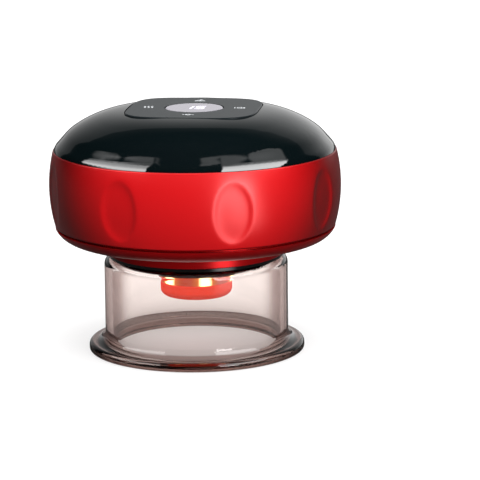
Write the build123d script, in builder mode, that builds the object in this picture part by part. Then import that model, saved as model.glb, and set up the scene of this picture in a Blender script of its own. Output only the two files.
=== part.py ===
from build123d import *
import os
from math import cos, radians, sin, sqrt

# Electric cupping massager: a domed head with pump, cell and lamps, screwed onto a clear cup.
# Millimetres, +Z up, origin in the middle of the cup's rim. The front faces -Y.

# Clearances
part_gap = 0.3
slide_gap = 0.05
screw_gap = 0.1
overrun = 1.0
edge_break = 0.3

# Cup
shoulder_width = 4.4
cup_wall = 2.5
cup_shoulder_height = 32.0
cup_shoulder_thickness = 1.9
cup_shoulder_round = 2.8
cup_inner_round = 0.8
flange_width = 5.5
flange_thickness = 2.9
flange_top_round = 1.4
flange_foot_round = 0.6
foot_fillet = 3.6
neck_wall = 1.8
air_channel_width = 12.3
collar_wall = 1.5
collar_height = 4.0
collar_gap = 5.8

# Thread between the cup and the head
thread_pitch = 3.0
thread_depth = 1.2
thread_sink = 0.25
thread_foot_width = 1.6
thread_crest_width = 0.8
thread_rise = 2.2
thread_top_gap = 1.05
cup_thread_turns = 1.75
socket_thread_turns = 1.25
thread_root_gap = 0.4

# Rings of the socket
gasket_thickness = 1.0
gasket_width = 1.2
seal_thickness = 1.0
seal_lip = 0.3

# Red bottom cover
socket_wall = 1.6
socket_ceiling = 1.8
shell_wall = 2.0
underside_inset = 6.15
underside_rise = 5.0
underside_slope_rise = 1.7
belly_inset = 1.55
belly_rise = 2.0
groove_rise = 2.4
groove_width = 0.6
lip_height = 2.6
lip_wall = 1.4
lip_gap = 0.15

# Red grip band
band_foot_inset = 1.85
seam_inset = 1.5
band_wall = 2.2
band_edge_round = 0.5
dimple_count = 8
dimple_depth = 1.15
dimple_half_width = 6.4
dimple_half_height = 9.8
dimple_drop = 0.65

# Black top cover
dome_inset = 0.25
dome_wall = 2.0
seam_gap = 0.1
ceiling_thickness = 1.85
dome_shares = ((1, 0), (0.985, 0.11), (0.96, 0.207), (0.907, 0.407), (0.844, 0.571),
               (0.759, 0.729), (0.654, 0.864), (0.527, 0.95), (0.3, 0.99), (0, 1))
ceiling_share_count = 7

# Control panel and display
panel_margin = 3.5
panel_sink = 0.3
panel_power = 3.9
panel_thickness = 1.2
panel_tape_thickness = 0.3
panel_tape_width = 3.0
panel_gap = 0.35
panel_edge_chamfer = 0.25
panel_outline_steps = 40
display_radius = 9.65
display_gap = 0.3
display_window_thickness = 0.9
display_body_wall = 0.8
display_screen_shares = (1.4, 1.0)
key_gap = 2.65

# Touch board
touch_board_margin = 0.3
touch_gap = 1.7
touch_board_corner = 4.0
touch_board_thickness = 1.2
touch_spring_height = 2.0
touch_spring_radius = 2.8
touch_spring_wire = 0.5
touch_screw_inset = 4.5
touch_boss_radius = 2.2
small_screw_radius = 0.8
small_screw_head_radius = 1.5
small_screw_head_height = 1.0
small_screw_length = 3.0
slot_width = 0.5
slot_depth_share = 0.5

# Long case screws and their posts
post_place_x = 17.0
post_gap = 1.0
post_radius = 3.4
post_root_rise = 0.6
post_rise = 14.7
post_clamp_length = 8.0
case_screw_radius = 1.5
case_screw_head_radius = 2.4
case_screw_head_height = 1.8
case_screw_length = 14.0
case_socket_radius = 1.1

# Lamp and heater module
lamp_housing_wall = 0.8
lamp_housing_roof = 1.6
lamp_drop = 18.0
lamp_lens_thickness = 2.6
lamp_count = 6
lamp_heater_gap = 0.4
lamp_edge_gap = 0.2
lamp_half_width = 1.6
lamp_half_length = 0.9
lamp_height = 1.0
lamp_phase = 22.0
lamp_board_thickness = 1.0
heater_wall = 1.2
heater_reach = 5.1
heater_rim_width = 2.8
heater_round = 2.4
heater_grip_length = 2.2
heater_core_wall = 1.2
heater_plate_thickness = 1.5
heater_film_thickness = 0.3
film_margin = 0.3
magnet_radius = 5.5
magnet_thickness = 3.0
sensor_length = 3.2
sensor_width = 1.6
sensor_height = 0.8
lamp_screw_count = 3
lamp_screw_phase = 60.0
wire_hole_gap = 0.34

# Vacuum port and filter
port_radius = 1.5
port_bore = 0.8
port_collar_radius = 3.0
port_collar_height = 1.2
port_height = 7.0
filter_radius = 3.05
filter_thickness = 1.2
hose_wall = 0.95
hose_bend_radius = 6.0
tee_nipple_length = 3.0
tee_branch_bore = 0.7

# Battery
cell_radius = 9.1
cell_length = 65.0
tray_floor = 1.2
tray_wall = 0.8
tray_height = 10.0
tray_clearance = 0.354
contact_thickness = 0.4
contact_width = 4.0
contact_rise = 1.0

# Air pump, lying along X
pump_foot_gap = 0.75
pump_lane_gap = 3.1
pump_split_x = 0.0
motor_radius = 12.0
motor_length = 25.0
motor_can_wall = 0.7
motor_cap_thickness = 2.2
magnet_wall = 1.8
magnet_gap = 0.5
magnet_overhang = 3.0
brush_space = 3.7
armature_slot_width = 2.2
armature_slot_depth = 4.5
pole_count = 3
commutator_radius = 2.6
commutator_length = 4.0
shaft_radius = 1.0
bearing_radius = 3.0
bearing_length = 2.2
crankcase_length = 12.0
crankcase_wall = 2.0
crank_offset = 2.0
crank_pin_radius = 0.9
crank_radius = 4.6
crank_thickness = 3.4
yoke_gap = 2.0
yoke_thickness = 1.8
diaphragm_thickness = 1.0
diaphragm_bump_radius = 3.2
valve_plate_thickness = 3.0
pump_head_thickness = 4.0
pump_nipple_length = 6.0
pump_nipple_place = 6.0
pump_screw_inset = 1.2
pump_screw_radius = 0.7
pump_screw_depth = 7.0
cradle_length = 16.0
cradle_half_width = 8.0

# Release valve, standing on its pad
valve_edge_gap = 3.4
valve_side_gap = 0.4
valve_motor_gap = 0.4
valve_frame_wall = 1.0
bobbin_radius = 2.5
bobbin_wall = 0.5
bobbin_flange_margin = 0.25
bobbin_flange_thickness = 0.6
coil_wall = 1.8
valve_head_height = 6.0
plunger_nose_radius = 0.9
plunger_nose_length = 3.0
plunger_stroke = 1.2
spring_wall = 0.4

# Main board
board_edge_gap = 2.25
board_thickness = 1.6
board_rise = 1.4
board_boss_inset = 9.5
board_boss_radius = 2.6
chip_half = 3.5
chip_height = 1.0
chip_shares = ((-0.25, 0.17), (0.17, 0.25))
choke_radius = 3.0
choke_height = 2.6
choke_shares = ((-0.17, -0.25), (0.34, -0.17))
connector_length = 8.0
connector_width = 3.4
connector_height = 3.2
buzzer_radius = 4.6
buzzer_height = 3.5
buzzer_hole_radius = 0.8
buzzer_turn = 225.0

# Charging socket at the back
socket_width = 8.94
socket_tall = 3.26
socket_depth = 7.4
socket_shell_wall = 0.3
socket_rise = 7.4
socket_setback = 0.9
tongue_width = 6.7
tongue_thickness = 0.7
charge_board_width = 20.0
charge_board_depth = 13.0
charge_board_thickness = 1.2
charge_rib_thickness = 1.6
charge_rib_place = 7.6

# Leads
lead_radius = 0.6
lead_bend = 2.0
lead_spread = 1.0
lead_offset = 1.8
lead_hose_gap = 1.3
lead_rise = 8.7
lead_slope_rise = 6.0
terminal_place = 5.0
terminal_reach = 3.0

# Lamp module, cup and socket, outwards from the magnet
film_radius = magnet_radius + part_gap + sensor_width + film_margin
heater_plate_radius = film_radius + part_gap
heater_core_radius = heater_plate_radius + slide_gap
heater_bore = heater_core_radius + slide_gap
heater_neck_radius = heater_bore + heater_wall
heater_radius = heater_neck_radius + heater_rim_width
lamp_circle_radius = heater_neck_radius + lamp_heater_gap + lamp_half_length
lamp_housing_radius = lamp_circle_radius + lamp_half_length + lamp_edge_gap + lamp_housing_wall
collar_bore = lamp_housing_radius + collar_gap
neck_bore = lamp_housing_radius + air_channel_width
neck_radius = neck_bore + neck_wall
cup_radius = neck_radius + shoulder_width
cup_bore = cup_radius - cup_wall
flange_radius = cup_radius + flange_width
thread_crest_radius = neck_radius + thread_depth
socket_bore = thread_crest_radius + part_gap
ring_radius = socket_bore + socket_wall
socket_thread_crest = neck_radius + thread_root_gap
port_place = neck_bore - seal_lip - part_gap - filter_radius
wire_hole_radius = sqrt(lead_spread ** 2 + lead_offset ** 2) + lead_radius + wire_hole_gap

# Places of what stands on the deck, to both sides of a lane for valve and hoses
pump_side = motor_radius * 2
hose_bore = port_radius + slide_gap
hose_radius = hose_bore + hose_wall
bobbin_bore = bobbin_radius - bobbin_wall
bobbin_flange_radius = bobbin_radius + slide_gap + coil_wall + bobbin_flange_margin
valve_half = bobbin_flange_radius + valve_side_gap + valve_frame_wall
lane_half = max(valve_half, hose_radius)
pump_lane_half = hose_radius + pump_lane_gap
tray_half = cell_radius + part_gap + tray_wall
tray_end = cell_length / 2 + contact_thickness + part_gap
cell_place_y = lane_half + tray_half
pump_place_y = -pump_lane_half - pump_side / 2
post_place_y = max(cell_place_y + tray_half, pump_lane_half + pump_side) + post_gap + post_radius

# Radii of the head, outwards from the tray's corners, the posts and the valve behind the motor
tray_reach = sqrt((tray_end + tray_wall) ** 2 + (cell_place_y + tray_half) ** 2)
post_reach = sqrt(post_place_x ** 2 + post_place_y ** 2) + post_radius
pump_back = motor_length + motor_cap_thickness - pump_split_x
valve_reach = pump_back + valve_motor_gap + valve_half * 2 + valve_edge_gap
lip_bore = max(tray_reach, post_reach, valve_reach) + tray_clearance
lip_radius = lip_bore + lip_wall
band_foot_radius = lip_radius + lip_gap + band_wall
head_radius = band_foot_radius + band_foot_inset
seam_radius = head_radius - seam_inset
underside_radius = band_foot_radius - underside_inset
belly_radius = band_foot_radius - belly_inset
dome_foot_radius = seam_radius - dome_inset
top_lip_radius = seam_radius - band_wall - lip_gap
board_radius = top_lip_radius - lip_wall - board_edge_gap
board_boss_place = board_radius - board_boss_inset
valve_place_x = valve_edge_gap + valve_half - lip_bore

# Touch keys round the display
key_radius = display_radius + display_gap + key_gap + touch_spring_radius
touch_board_half = key_radius + touch_spring_radius + touch_board_margin
touch_screw_place = touch_board_half - touch_screw_inset
panel_half = touch_board_half + panel_margin

# Heights, upwards from the cup's rim
neck_height = thread_rise + cup_thread_turns * thread_pitch + thread_top_gap
neck_top = cup_shoulder_height + neck_height
socket_mouth = cup_shoulder_height + gasket_thickness
socket_roof = neck_top + seal_thickness
deck_height = socket_roof + socket_ceiling
underside_height = socket_mouth + underside_rise
ring_foot_height = underside_height - underside_slope_rise
groove_height = underside_height + belly_rise + groove_rise
cover_rim_height = groove_height - groove_width / 2
band_foot_height = groove_height + groove_width / 2
lamp_lens_bottom = socket_roof - lamp_drop
lens_top = lamp_lens_bottom + lamp_lens_thickness
heater_bottom = lamp_lens_bottom - heater_reach
heater_shoulder = lamp_lens_bottom - part_gap
heater_top = lens_top + heater_grip_length
post_split_height = deck_height + post_rise
case_screw_seat = post_split_height - post_clamp_length
pump_axis_height = deck_height + pump_foot_gap + pump_side / 2
pump_top_height = pump_axis_height + pump_side / 2
tee_height = pump_axis_height + pump_nipple_place
seam_height = pump_top_height + part_gap / 2
board_underside = pump_top_height + board_rise
board_top = board_underside + board_thickness
touch_board_underside = board_top + choke_height + touch_gap
touch_board_top = touch_board_underside + touch_board_thickness
ceiling_height = touch_board_top + touch_spring_height
recess_floor = ceiling_height + ceiling_thickness
panel_top = recess_floor + panel_tape_thickness + panel_thickness
dome_top = panel_top + panel_sink
dome_height = dome_top - seam_height


def corner(r, z):
    """The corner of the open sketch nearest to a profile point."""
    return vertices().sort_by_distance((r, z, 0))[0]


def thread_ridge(root_radius, crest_radius, turns, start_height):
    """A helical ridge that stands on a cylinder, outwards or inwards."""
    depth = crest_radius - root_radius
    sink = thread_sink if depth > 0 else -thread_sink
    with BuildPart() as ridge:
        with BuildLine() as coil:
            Helix(pitch=thread_pitch, height=turns * thread_pitch, radius=root_radius,
                  center=(0, 0, start_height))
        with BuildSketch(Plane(origin=coil.line @ 0, x_dir=(1, 0, 0), z_dir=coil.line % 0)):
            with BuildLine():
                Polyline((-sink, -thread_foot_width / 2), (depth, -thread_crest_width / 2),
                         (depth, thread_crest_width / 2), (-sink, thread_foot_width / 2), close=True)
            make_face()
        sweep(path=coil.line, is_frenet=True)
    return ridge.part


def dome_points(radius, height, count):
    """The first points of the dome's profile, from the seam upwards."""
    return [(radius * r_share, seam_height + height * z_share) for r_share, z_share in dome_shares[:count]]


def panel_outline(half):
    """Square with bulged sides and wide corners, as a closed smooth curve."""
    points = []
    for step in range(panel_outline_steps):
        turn = radians(360 * step / panel_outline_steps)
        reach = (abs(cos(turn)) ** panel_power + abs(sin(turn)) ** panel_power) ** (-1 / panel_power)
        points.append((half * reach * cos(turn), half * reach * sin(turn)))
    return Spline(*points, periodic=True)


# Clear cup with flange, shoulder, inner collar and threaded neck
cup_thread = thread_ridge(neck_radius, thread_crest_radius, cup_thread_turns,
                          cup_shoulder_height + thread_rise)
shoulder_underside = cup_shoulder_height - cup_shoulder_thickness
collar_top = cup_shoulder_height + collar_height
with BuildPart() as cup:
    with BuildSketch(Plane.XZ):
        with BuildLine():
            Polyline((cup_bore, 0), (flange_radius, 0), (flange_radius, flange_thickness),
                     (cup_radius, flange_thickness), (cup_radius, cup_shoulder_height),
                     (neck_radius, cup_shoulder_height), (neck_radius, neck_top), (neck_bore, neck_top),
                     (neck_bore, cup_shoulder_height), (collar_bore + collar_wall, cup_shoulder_height),
                     (collar_bore + collar_wall, collar_top), (collar_bore, collar_top),
                     (collar_bore, shoulder_underside), (cup_bore, shoulder_underside), close=True)
        make_face()
        fillet(corner(flange_radius, flange_thickness), flange_top_round)
        fillet(corner(flange_radius, 0), flange_foot_round)
        fillet(corner(cup_bore, 0), flange_foot_round)
        fillet(corner(cup_radius, flange_thickness),
               min(foot_fillet, flange_width - flange_top_round - edge_break))
        fillet(corner(cup_radius, cup_shoulder_height), min(cup_shoulder_round, shoulder_width - edge_break))
        fillet(corner(cup_bore, shoulder_underside), cup_inner_round)
        fillet(corner(neck_bore, neck_top), edge_break)
        fillet(corner(neck_radius, neck_top), edge_break)
    revolve(axis=Axis.Z)
    add(cup_thread)
cup.part.label = "cup"
export_step(cup.part, "parts/cup.step")

# Black ring that lies on the cup's shoulder
with BuildPart() as neck_gasket:
    with BuildSketch(Plane.XY.offset(cup_shoulder_height)):
        Circle(socket_bore + gasket_width)
        Circle(thread_crest_radius + part_gap / 2, mode=Mode.SUBTRACT)
    extrude(amount=gasket_thickness)
neck_gasket.part.label = "neck_gasket"
export_step(neck_gasket.part, "parts/neck_gasket.step")

# Silicone ring that the neck presses on
with BuildPart() as cup_seal:
    with BuildSketch(Plane.XY.offset(neck_top)):
        Circle(neck_radius + seal_lip)
        Circle(neck_bore - seal_lip, mode=Mode.SUBTRACT)
    extrude(amount=seal_thickness)
cup_seal.part.label = "cup_seal"
export_step(cup_seal.part, "parts/cup_seal.step")

# Red bottom cover with the threaded socket
socket_thread = thread_ridge(socket_bore, socket_thread_crest, socket_thread_turns,
                             cup_shoulder_height + thread_rise + thread_pitch / 2)
post_places = [(x, y) for x in (-post_place_x, post_place_x) for y in (-post_place_y, post_place_y)]
post_root = ring_foot_height + shell_wall + post_root_rise
valve_pad_top = deck_height
charge_board_top = band_foot_height + socket_rise - socket_tall / 2
charge_board_underside = charge_board_top - charge_board_thickness
lamp_screw_turns = [radians(360 * n / lamp_screw_count + lamp_screw_phase) for n in range(lamp_screw_count)]
lamp_screw_circle = (heater_core_radius + lamp_housing_radius - lamp_housing_wall) / 2
lamp_screw_places = [(lamp_screw_circle * cos(turn), lamp_screw_circle * sin(turn))
                     for turn in lamp_screw_turns]
charge_board_back = lip_bore + lip_gap - part_gap * 2
with BuildPart() as bottom_cover:
    with BuildSketch(Plane.XZ):
        with BuildLine():
            Polyline((socket_bore, socket_mouth), (ring_radius, socket_mouth),
                     (ring_radius, ring_foot_height), (underside_radius, underside_height))
            ThreePointArc((underside_radius, underside_height),
                          (belly_radius, underside_height + belly_rise),
                          (band_foot_radius, cover_rim_height))
            Polyline((band_foot_radius, cover_rim_height), (lip_radius, cover_rim_height),
                     (lip_radius, band_foot_height + lip_height),
                     (lip_bore, band_foot_height + lip_height),
                     (lip_bore, underside_height + belly_rise + lip_wall),
                     (underside_radius, underside_height + shell_wall),
                     (ring_radius, ring_foot_height + shell_wall), (ring_radius, deck_height),
                     (0, deck_height), (0, socket_roof), (socket_bore, socket_roof),
                     (socket_bore, socket_mouth))
        make_face()
        fillet(corner(ring_radius, socket_mouth), edge_break)
    revolve(axis=Axis.Z)
    add(socket_thread)
    with BuildSketch(Plane.XY.offset(post_root)):
        with Locations(*post_places):
            Circle(post_radius)
    extrude(amount=post_split_height - post_root)
    with BuildSketch(Plane.XY.offset(post_root)):
        with Locations((valve_place_x, 0)):
            Rectangle(valve_half * 2, valve_half * 2)
        Circle((socket_bore + ring_radius) / 2, mode=Mode.SUBTRACT)
    extrude(amount=valve_pad_top - post_root)
    with BuildSketch(Plane.XY.offset(post_root)):
        with Locations((-charge_rib_place, charge_board_back - charge_board_depth / 2),
                       (charge_rib_place, charge_board_back - charge_board_depth / 2)):
            Rectangle(charge_rib_thickness, charge_board_depth - overrun)
    extrude(amount=charge_board_underside - post_root)
    with BuildSketch(Plane.XY.offset(socket_mouth)):
        with Locations(*post_places):
            Circle(case_screw_head_radius + part_gap)
    extrude(amount=case_screw_seat - socket_mouth, mode=Mode.SUBTRACT)
    with BuildSketch(Plane.XY.offset(socket_mouth)):
        with Locations(*post_places):
            Circle(case_screw_radius + screw_gap)
    extrude(amount=post_split_height - socket_mouth + overrun, mode=Mode.SUBTRACT)
    with BuildSketch(Plane.XY.offset(socket_roof)):
        with Locations((port_place, 0)):
            Circle(port_radius + slide_gap)
        with Locations(*lamp_screw_places):
            Circle(small_screw_radius + screw_gap)
        Circle(wire_hole_radius)
    extrude(amount=socket_ceiling + overrun, mode=Mode.SUBTRACT)
bottom_cover.part.label = "bottom_cover"
export_step(bottom_cover.part, "parts/bottom_cover.step")

# Red grip band with finger dimples and the charging slot
band_waist_height = (band_foot_height + seam_height) / 2
dimple_height = band_waist_height - dimple_drop
dimple_turns = [360 * (n + 1 / 2) / dimple_count for n in range(dimple_count)]
dimple_bow = dimple_half_width ** 2 / 2
dimple_cutter_radius = 1 / (dimple_depth / dimple_bow - 1 / head_radius)
dimple_rise_bow = dimple_half_height ** 2 / 2
band_bulge = head_radius - (band_foot_radius + seam_radius) / 2
band_bow_radius = ((seam_height - band_foot_height) / 2) ** 2 / 2 / band_bulge
dimple_profile_radius = 1 / (dimple_depth / dimple_rise_bow - 1 / band_bow_radius)
dimple_axis = head_radius - dimple_depth + dimple_cutter_radius
dimple_edge = dimple_cutter_radius - dimple_half_height ** 2 * 2 / dimple_profile_radius
charge_axis_height = band_foot_height + socket_rise
with BuildPart() as dimple_cutter:
    with BuildSketch(Plane.XZ):
        with BuildLine():
            ThreePointArc((dimple_edge, dimple_height - dimple_half_height * 2),
                          (dimple_cutter_radius, dimple_height),
                          (dimple_edge, dimple_height + dimple_half_height * 2))
            Polyline((dimple_edge, dimple_height + dimple_half_height * 2),
                     (0, dimple_height + dimple_half_height * 2),
                     (0, dimple_height - dimple_half_height * 2),
                     (dimple_edge, dimple_height - dimple_half_height * 2))
        make_face()
    revolve(axis=Axis.Z)
with BuildPart() as grip_band:
    with BuildSketch(Plane.XZ):
        with BuildLine():
            ThreePointArc((band_foot_radius, band_foot_height), (head_radius, band_waist_height),
                          (seam_radius, seam_height))
            Line((seam_radius, seam_height), (seam_radius - band_wall, seam_height))
            ThreePointArc((seam_radius - band_wall, seam_height),
                          (head_radius - band_wall, band_waist_height),
                          (band_foot_radius - band_wall, band_foot_height))
            Line((band_foot_radius - band_wall, band_foot_height), (band_foot_radius, band_foot_height))
        make_face()
        fillet(corner(band_foot_radius, band_foot_height), band_edge_round)
        fillet(corner(seam_radius, seam_height), edge_break)
    revolve(axis=Axis.Z)
    with Locations(*[Location((dimple_axis * cos(radians(turn)), dimple_axis * sin(radians(turn)), 0))
                     for turn in dimple_turns]):
        add(dimple_cutter.part, mode=Mode.SUBTRACT)
    with BuildSketch(Plane.XZ.offset(-head_radius - overrun)):
        with Locations((0, charge_axis_height)):
            SlotOverall(socket_width + part_gap * 2, socket_tall + part_gap * 2)
    extrude(amount=band_wall * 3, mode=Mode.SUBTRACT)
grip_band.part.label = "grip_band"
export_step(grip_band.part, "parts/grip_band.step")

# Black top cover with its recess, bosses and lip
boss_floor_places = [(-touch_screw_place, -touch_screw_place), (-touch_screw_place, touch_screw_place),
                     (touch_screw_place, -touch_screw_place), (touch_screw_place, touch_screw_place)]
board_boss_places = [(-board_boss_place, 0), (board_boss_place, 0)]
small_pilot = small_screw_length + screw_gap
with BuildPart() as dome_core:
    with BuildSketch(Plane.XZ):
        with BuildLine():
            Spline(*dome_points(dome_foot_radius - dome_wall / 2, dome_height - dome_wall / 2,
                                len(dome_shares)))
            Polyline((0, dome_top - dome_wall / 2), (0, post_split_height - overrun),
                     (dome_foot_radius - dome_wall / 2, post_split_height - overrun),
                     (dome_foot_radius - dome_wall / 2, seam_height))
        make_face()
    revolve(axis=Axis.Z)
with BuildPart() as dome_bosses:
    with BuildSketch(Plane.XY.offset(post_split_height)):
        with Locations(*post_places):
            Circle(post_radius)
    extrude(amount=dome_top - post_split_height)
    with BuildSketch(Plane.XY.offset(board_top)):
        with Locations(*post_places):
            Circle(post_radius + overrun)
        with Locations(*board_boss_places):
            Circle(board_boss_radius)
    extrude(amount=dome_top - board_top)
    add(dome_core.part, mode=Mode.INTERSECT)
with BuildPart() as top_cover:
    with BuildSketch(Plane.XZ):
        with BuildLine():
            outer = Spline(*dome_points(dome_foot_radius, dome_height, len(dome_shares)))
            inner = Spline(*dome_points(dome_foot_radius - dome_wall, dome_height - dome_wall,
                                        ceiling_share_count))
            Polyline(outer @ 1, (0, ceiling_height), ((inner @ 1).X, ceiling_height), inner @ 1)
            Line(outer @ 0, inner @ 0)
        make_face()
    revolve(axis=Axis.Z)
    with BuildSketch(Plane.XY.offset(seam_height - lip_height)):
        Circle(top_lip_radius)
        Circle(top_lip_radius - lip_wall, mode=Mode.SUBTRACT)
    extrude(amount=lip_height + dome_wall / 2)
    add(dome_bosses.part)
    with BuildSketch(Plane.XY.offset(ceiling_height)):
        with Locations(*boss_floor_places):
            Circle(touch_boss_radius)
    extrude(amount=-touch_spring_height)
    with BuildSketch(Plane.XY.offset(seam_height)):
        Circle(head_radius)
        Circle(dome_foot_radius - dome_wall + slide_gap, mode=Mode.SUBTRACT)
    extrude(amount=seam_gap, mode=Mode.SUBTRACT)
    with BuildSketch(Plane.XY.offset(recess_floor)):
        with BuildLine():
            panel_outline(panel_half + panel_gap)
        make_face()
    extrude(amount=dome_top - recess_floor + overrun, mode=Mode.SUBTRACT)
    with BuildSketch(Plane.XY.offset(ceiling_height)):
        Circle(display_radius + display_gap)
    extrude(amount=ceiling_thickness + overrun, mode=Mode.SUBTRACT)
    with BuildSketch(Plane.XY.offset(ceiling_height - touch_spring_height)):
        with Locations(*boss_floor_places):
            Circle(small_screw_radius + screw_gap)
    extrude(amount=small_pilot, mode=Mode.SUBTRACT)
    with BuildSketch(Plane.XY.offset(board_top)):
        with Locations(*board_boss_places):
            Circle(small_screw_radius + screw_gap)
    extrude(amount=small_pilot, mode=Mode.SUBTRACT)
    with BuildSketch(Plane.XY.offset(post_split_height)):
        with Locations(*post_places):
            Circle(case_screw_radius + screw_gap)
    extrude(amount=case_screw_length - post_clamp_length, mode=Mode.SUBTRACT)
top_cover.part.label = "top_cover"
export_step(top_cover.part, "parts/top_cover.step")

# Control panel, its tape, the display window and the display
with BuildPart() as control_panel:
    with BuildSketch(Plane.XY.offset(recess_floor + panel_tape_thickness)):
        with BuildLine():
            panel_outline(panel_half)
        make_face()
        Circle(display_radius + display_gap, mode=Mode.SUBTRACT)
    extrude(amount=panel_thickness)
    chamfer(faces().sort_by(Axis.Z)[-1].outer_wire().edges(), panel_edge_chamfer)
control_panel.part.label = "control_panel"
export_step(control_panel.part, "parts/control_panel.step")

with BuildPart() as panel_tape:
    with BuildSketch(Plane.XY.offset(recess_floor)):
        with BuildLine():
            panel_outline(panel_half - panel_gap)
        make_face()
        with BuildLine():
            panel_outline(panel_half - panel_gap - panel_tape_width)
        make_face(mode=Mode.SUBTRACT)
    extrude(amount=panel_tape_thickness)
panel_tape.part.label = "panel_tape"
export_step(panel_tape.part, "parts/panel_tape.step")

window_underside = panel_top - display_window_thickness
with BuildPart() as display_window:
    with BuildSketch(Plane.XY.offset(window_underside)):
        Circle(display_radius)
    extrude(amount=display_window_thickness)
    chamfer(faces().sort_by(Axis.Z)[-1].edges(), panel_edge_chamfer)
display_window.part.label = "display_window"
export_step(display_window.part, "parts/display_window.step")

with BuildPart() as display_module:
    with BuildSketch(Plane.XY.offset(touch_board_top)):
        Circle(display_radius)
    extrude(amount=window_underside - touch_board_top)
    with BuildSketch(Plane.XY.offset(window_underside)):
        Rectangle((display_radius - display_body_wall) * display_screen_shares[0],
                  (display_radius - display_body_wall) * display_screen_shares[-1])
    extrude(amount=-display_body_wall, mode=Mode.SUBTRACT)
display_module.part.label = "display_module"
export_step(display_module.part, "parts/display_module.step")

# Touch board with its contact springs and screws
key_places = [(-key_radius, 0), (key_radius, 0), (0, -key_radius), (0, key_radius)]
with BuildPart() as touch_board:
    with BuildSketch(Plane.XY.offset(touch_board_underside)):
        RectangleRounded(touch_board_half * 2, touch_board_half * 2, touch_board_corner)
        with Locations(*boss_floor_places):
            Circle(small_screw_radius + screw_gap, mode=Mode.SUBTRACT)
    extrude(amount=touch_board_thickness)
touch_board.part.label = "touch_board"
export_step(touch_board.part, "parts/touch_board.step")

with BuildPart() as touch_springs:
    with BuildSketch(Plane.XY.offset(touch_board_top)):
        with Locations(*key_places):
            Circle(touch_spring_radius)
            Circle(touch_spring_radius - touch_spring_wire, mode=Mode.SUBTRACT)
    extrude(amount=touch_spring_height)
touch_springs.part.label = "touch_springs"
export_step(touch_springs.part, "parts/touch_springs.step")


def small_screws(places, seat_height):
    """Small screws that enter upwards, with their heads below the seat."""
    with BuildPart() as screws:
        with BuildSketch(Plane.XY.offset(seat_height)):
            with Locations(*places):
                Circle(small_screw_radius)
        extrude(amount=small_screw_length)
        with BuildSketch(Plane.XY.offset(seat_height)):
            with Locations(*places):
                Circle(small_screw_head_radius)
        extrude(amount=-small_screw_head_height)
        with BuildSketch(Plane.XY.offset(seat_height - small_screw_head_height)):
            with Locations(*places):
                Rectangle(small_screw_head_radius * 2 + overrun, slot_width)
        extrude(amount=small_screw_head_height * slot_depth_share, mode=Mode.SUBTRACT)
    return screws.part


touch_screws = small_screws(boss_floor_places, touch_board_underside)
touch_screws.label = "touch_screws"
export_step(touch_screws, "parts/touch_screws.step")

# Main board with its parts, screws and buzzer
board_screws = small_screws(board_boss_places, board_underside)
board_screws.label = "board_screws"
export_step(board_screws, "parts/board_screws.step")

with BuildPart() as main_board:
    with BuildSketch(Plane.XY.offset(board_underside)):
        Circle(board_radius)
        with Locations(*post_places):
            Circle(post_radius + part_gap, mode=Mode.SUBTRACT)
        with Locations(*board_boss_places):
            Circle(small_screw_radius + screw_gap, mode=Mode.SUBTRACT)
    extrude(amount=board_thickness)
main_board.part.label = "main_board"
export_step(main_board.part, "parts/main_board.step")

chip_places = [(board_radius * x_share, board_radius * y_share) for x_share, y_share in chip_shares]
choke_places = [(board_radius * x_share, board_radius * y_share) for x_share, y_share in choke_shares]
connector_places = [(0, -board_boss_place), (0, board_boss_place)]
with BuildPart() as main_board_parts:
    with BuildSketch(Plane.XY.offset(board_top)):
        with Locations(*chip_places):
            Rectangle(chip_half * 2, chip_half * 2)
    extrude(amount=chip_height)
    with BuildSketch(Plane.XY.offset(board_top)):
        with Locations(*choke_places):
            Circle(choke_radius)
    extrude(amount=choke_height)
    with BuildSketch(Plane.XY.offset(board_top)):
        with Locations(*connector_places):
            Rectangle(connector_length, connector_width)
    extrude(amount=connector_height)
    with BuildSketch(Plane.XY.offset(board_top + connector_height)):
        with Locations(*connector_places):
            Rectangle(connector_length - overrun, connector_width - overrun)
    extrude(amount=-connector_height / 2, mode=Mode.SUBTRACT)
main_board_parts.part.label = "main_board_parts"
export_step(main_board_parts.part, "parts/main_board_parts.step")

buzzer_place = (board_boss_place * cos(radians(buzzer_turn)), board_boss_place * sin(radians(buzzer_turn)))
with BuildPart() as buzzer:
    with BuildSketch(Plane.XY.offset(board_top)):
        with Locations(buzzer_place):
            Circle(buzzer_radius)
    extrude(amount=buzzer_height)
    with BuildSketch(Plane.XY.offset(board_top + buzzer_height)):
        with Locations(buzzer_place):
            Circle(buzzer_hole_radius)
    extrude(amount=-buzzer_height / 2, mode=Mode.SUBTRACT)
buzzer.part.label = "buzzer"
export_step(buzzer.part, "parts/buzzer.step")

# Long screws that hold the case together
with BuildPart() as case_screws:
    with BuildSketch(Plane.XY.offset(case_screw_seat)):
        with Locations(*post_places):
            Circle(case_screw_radius)
    extrude(amount=case_screw_length - screw_gap)
    with BuildSketch(Plane.XY.offset(case_screw_seat)):
        with Locations(*post_places):
            Circle(case_screw_head_radius)
    extrude(amount=-case_screw_head_height)
    with BuildSketch(Plane.XY.offset(case_screw_seat - case_screw_head_height)):
        with Locations(*post_places):
            RegularPolygon(case_socket_radius, 6)
    extrude(amount=case_screw_head_height * slot_depth_share, mode=Mode.SUBTRACT)
case_screws.part.label = "case_screws"
export_step(case_screws.part, "parts/case_screws.step")

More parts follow.
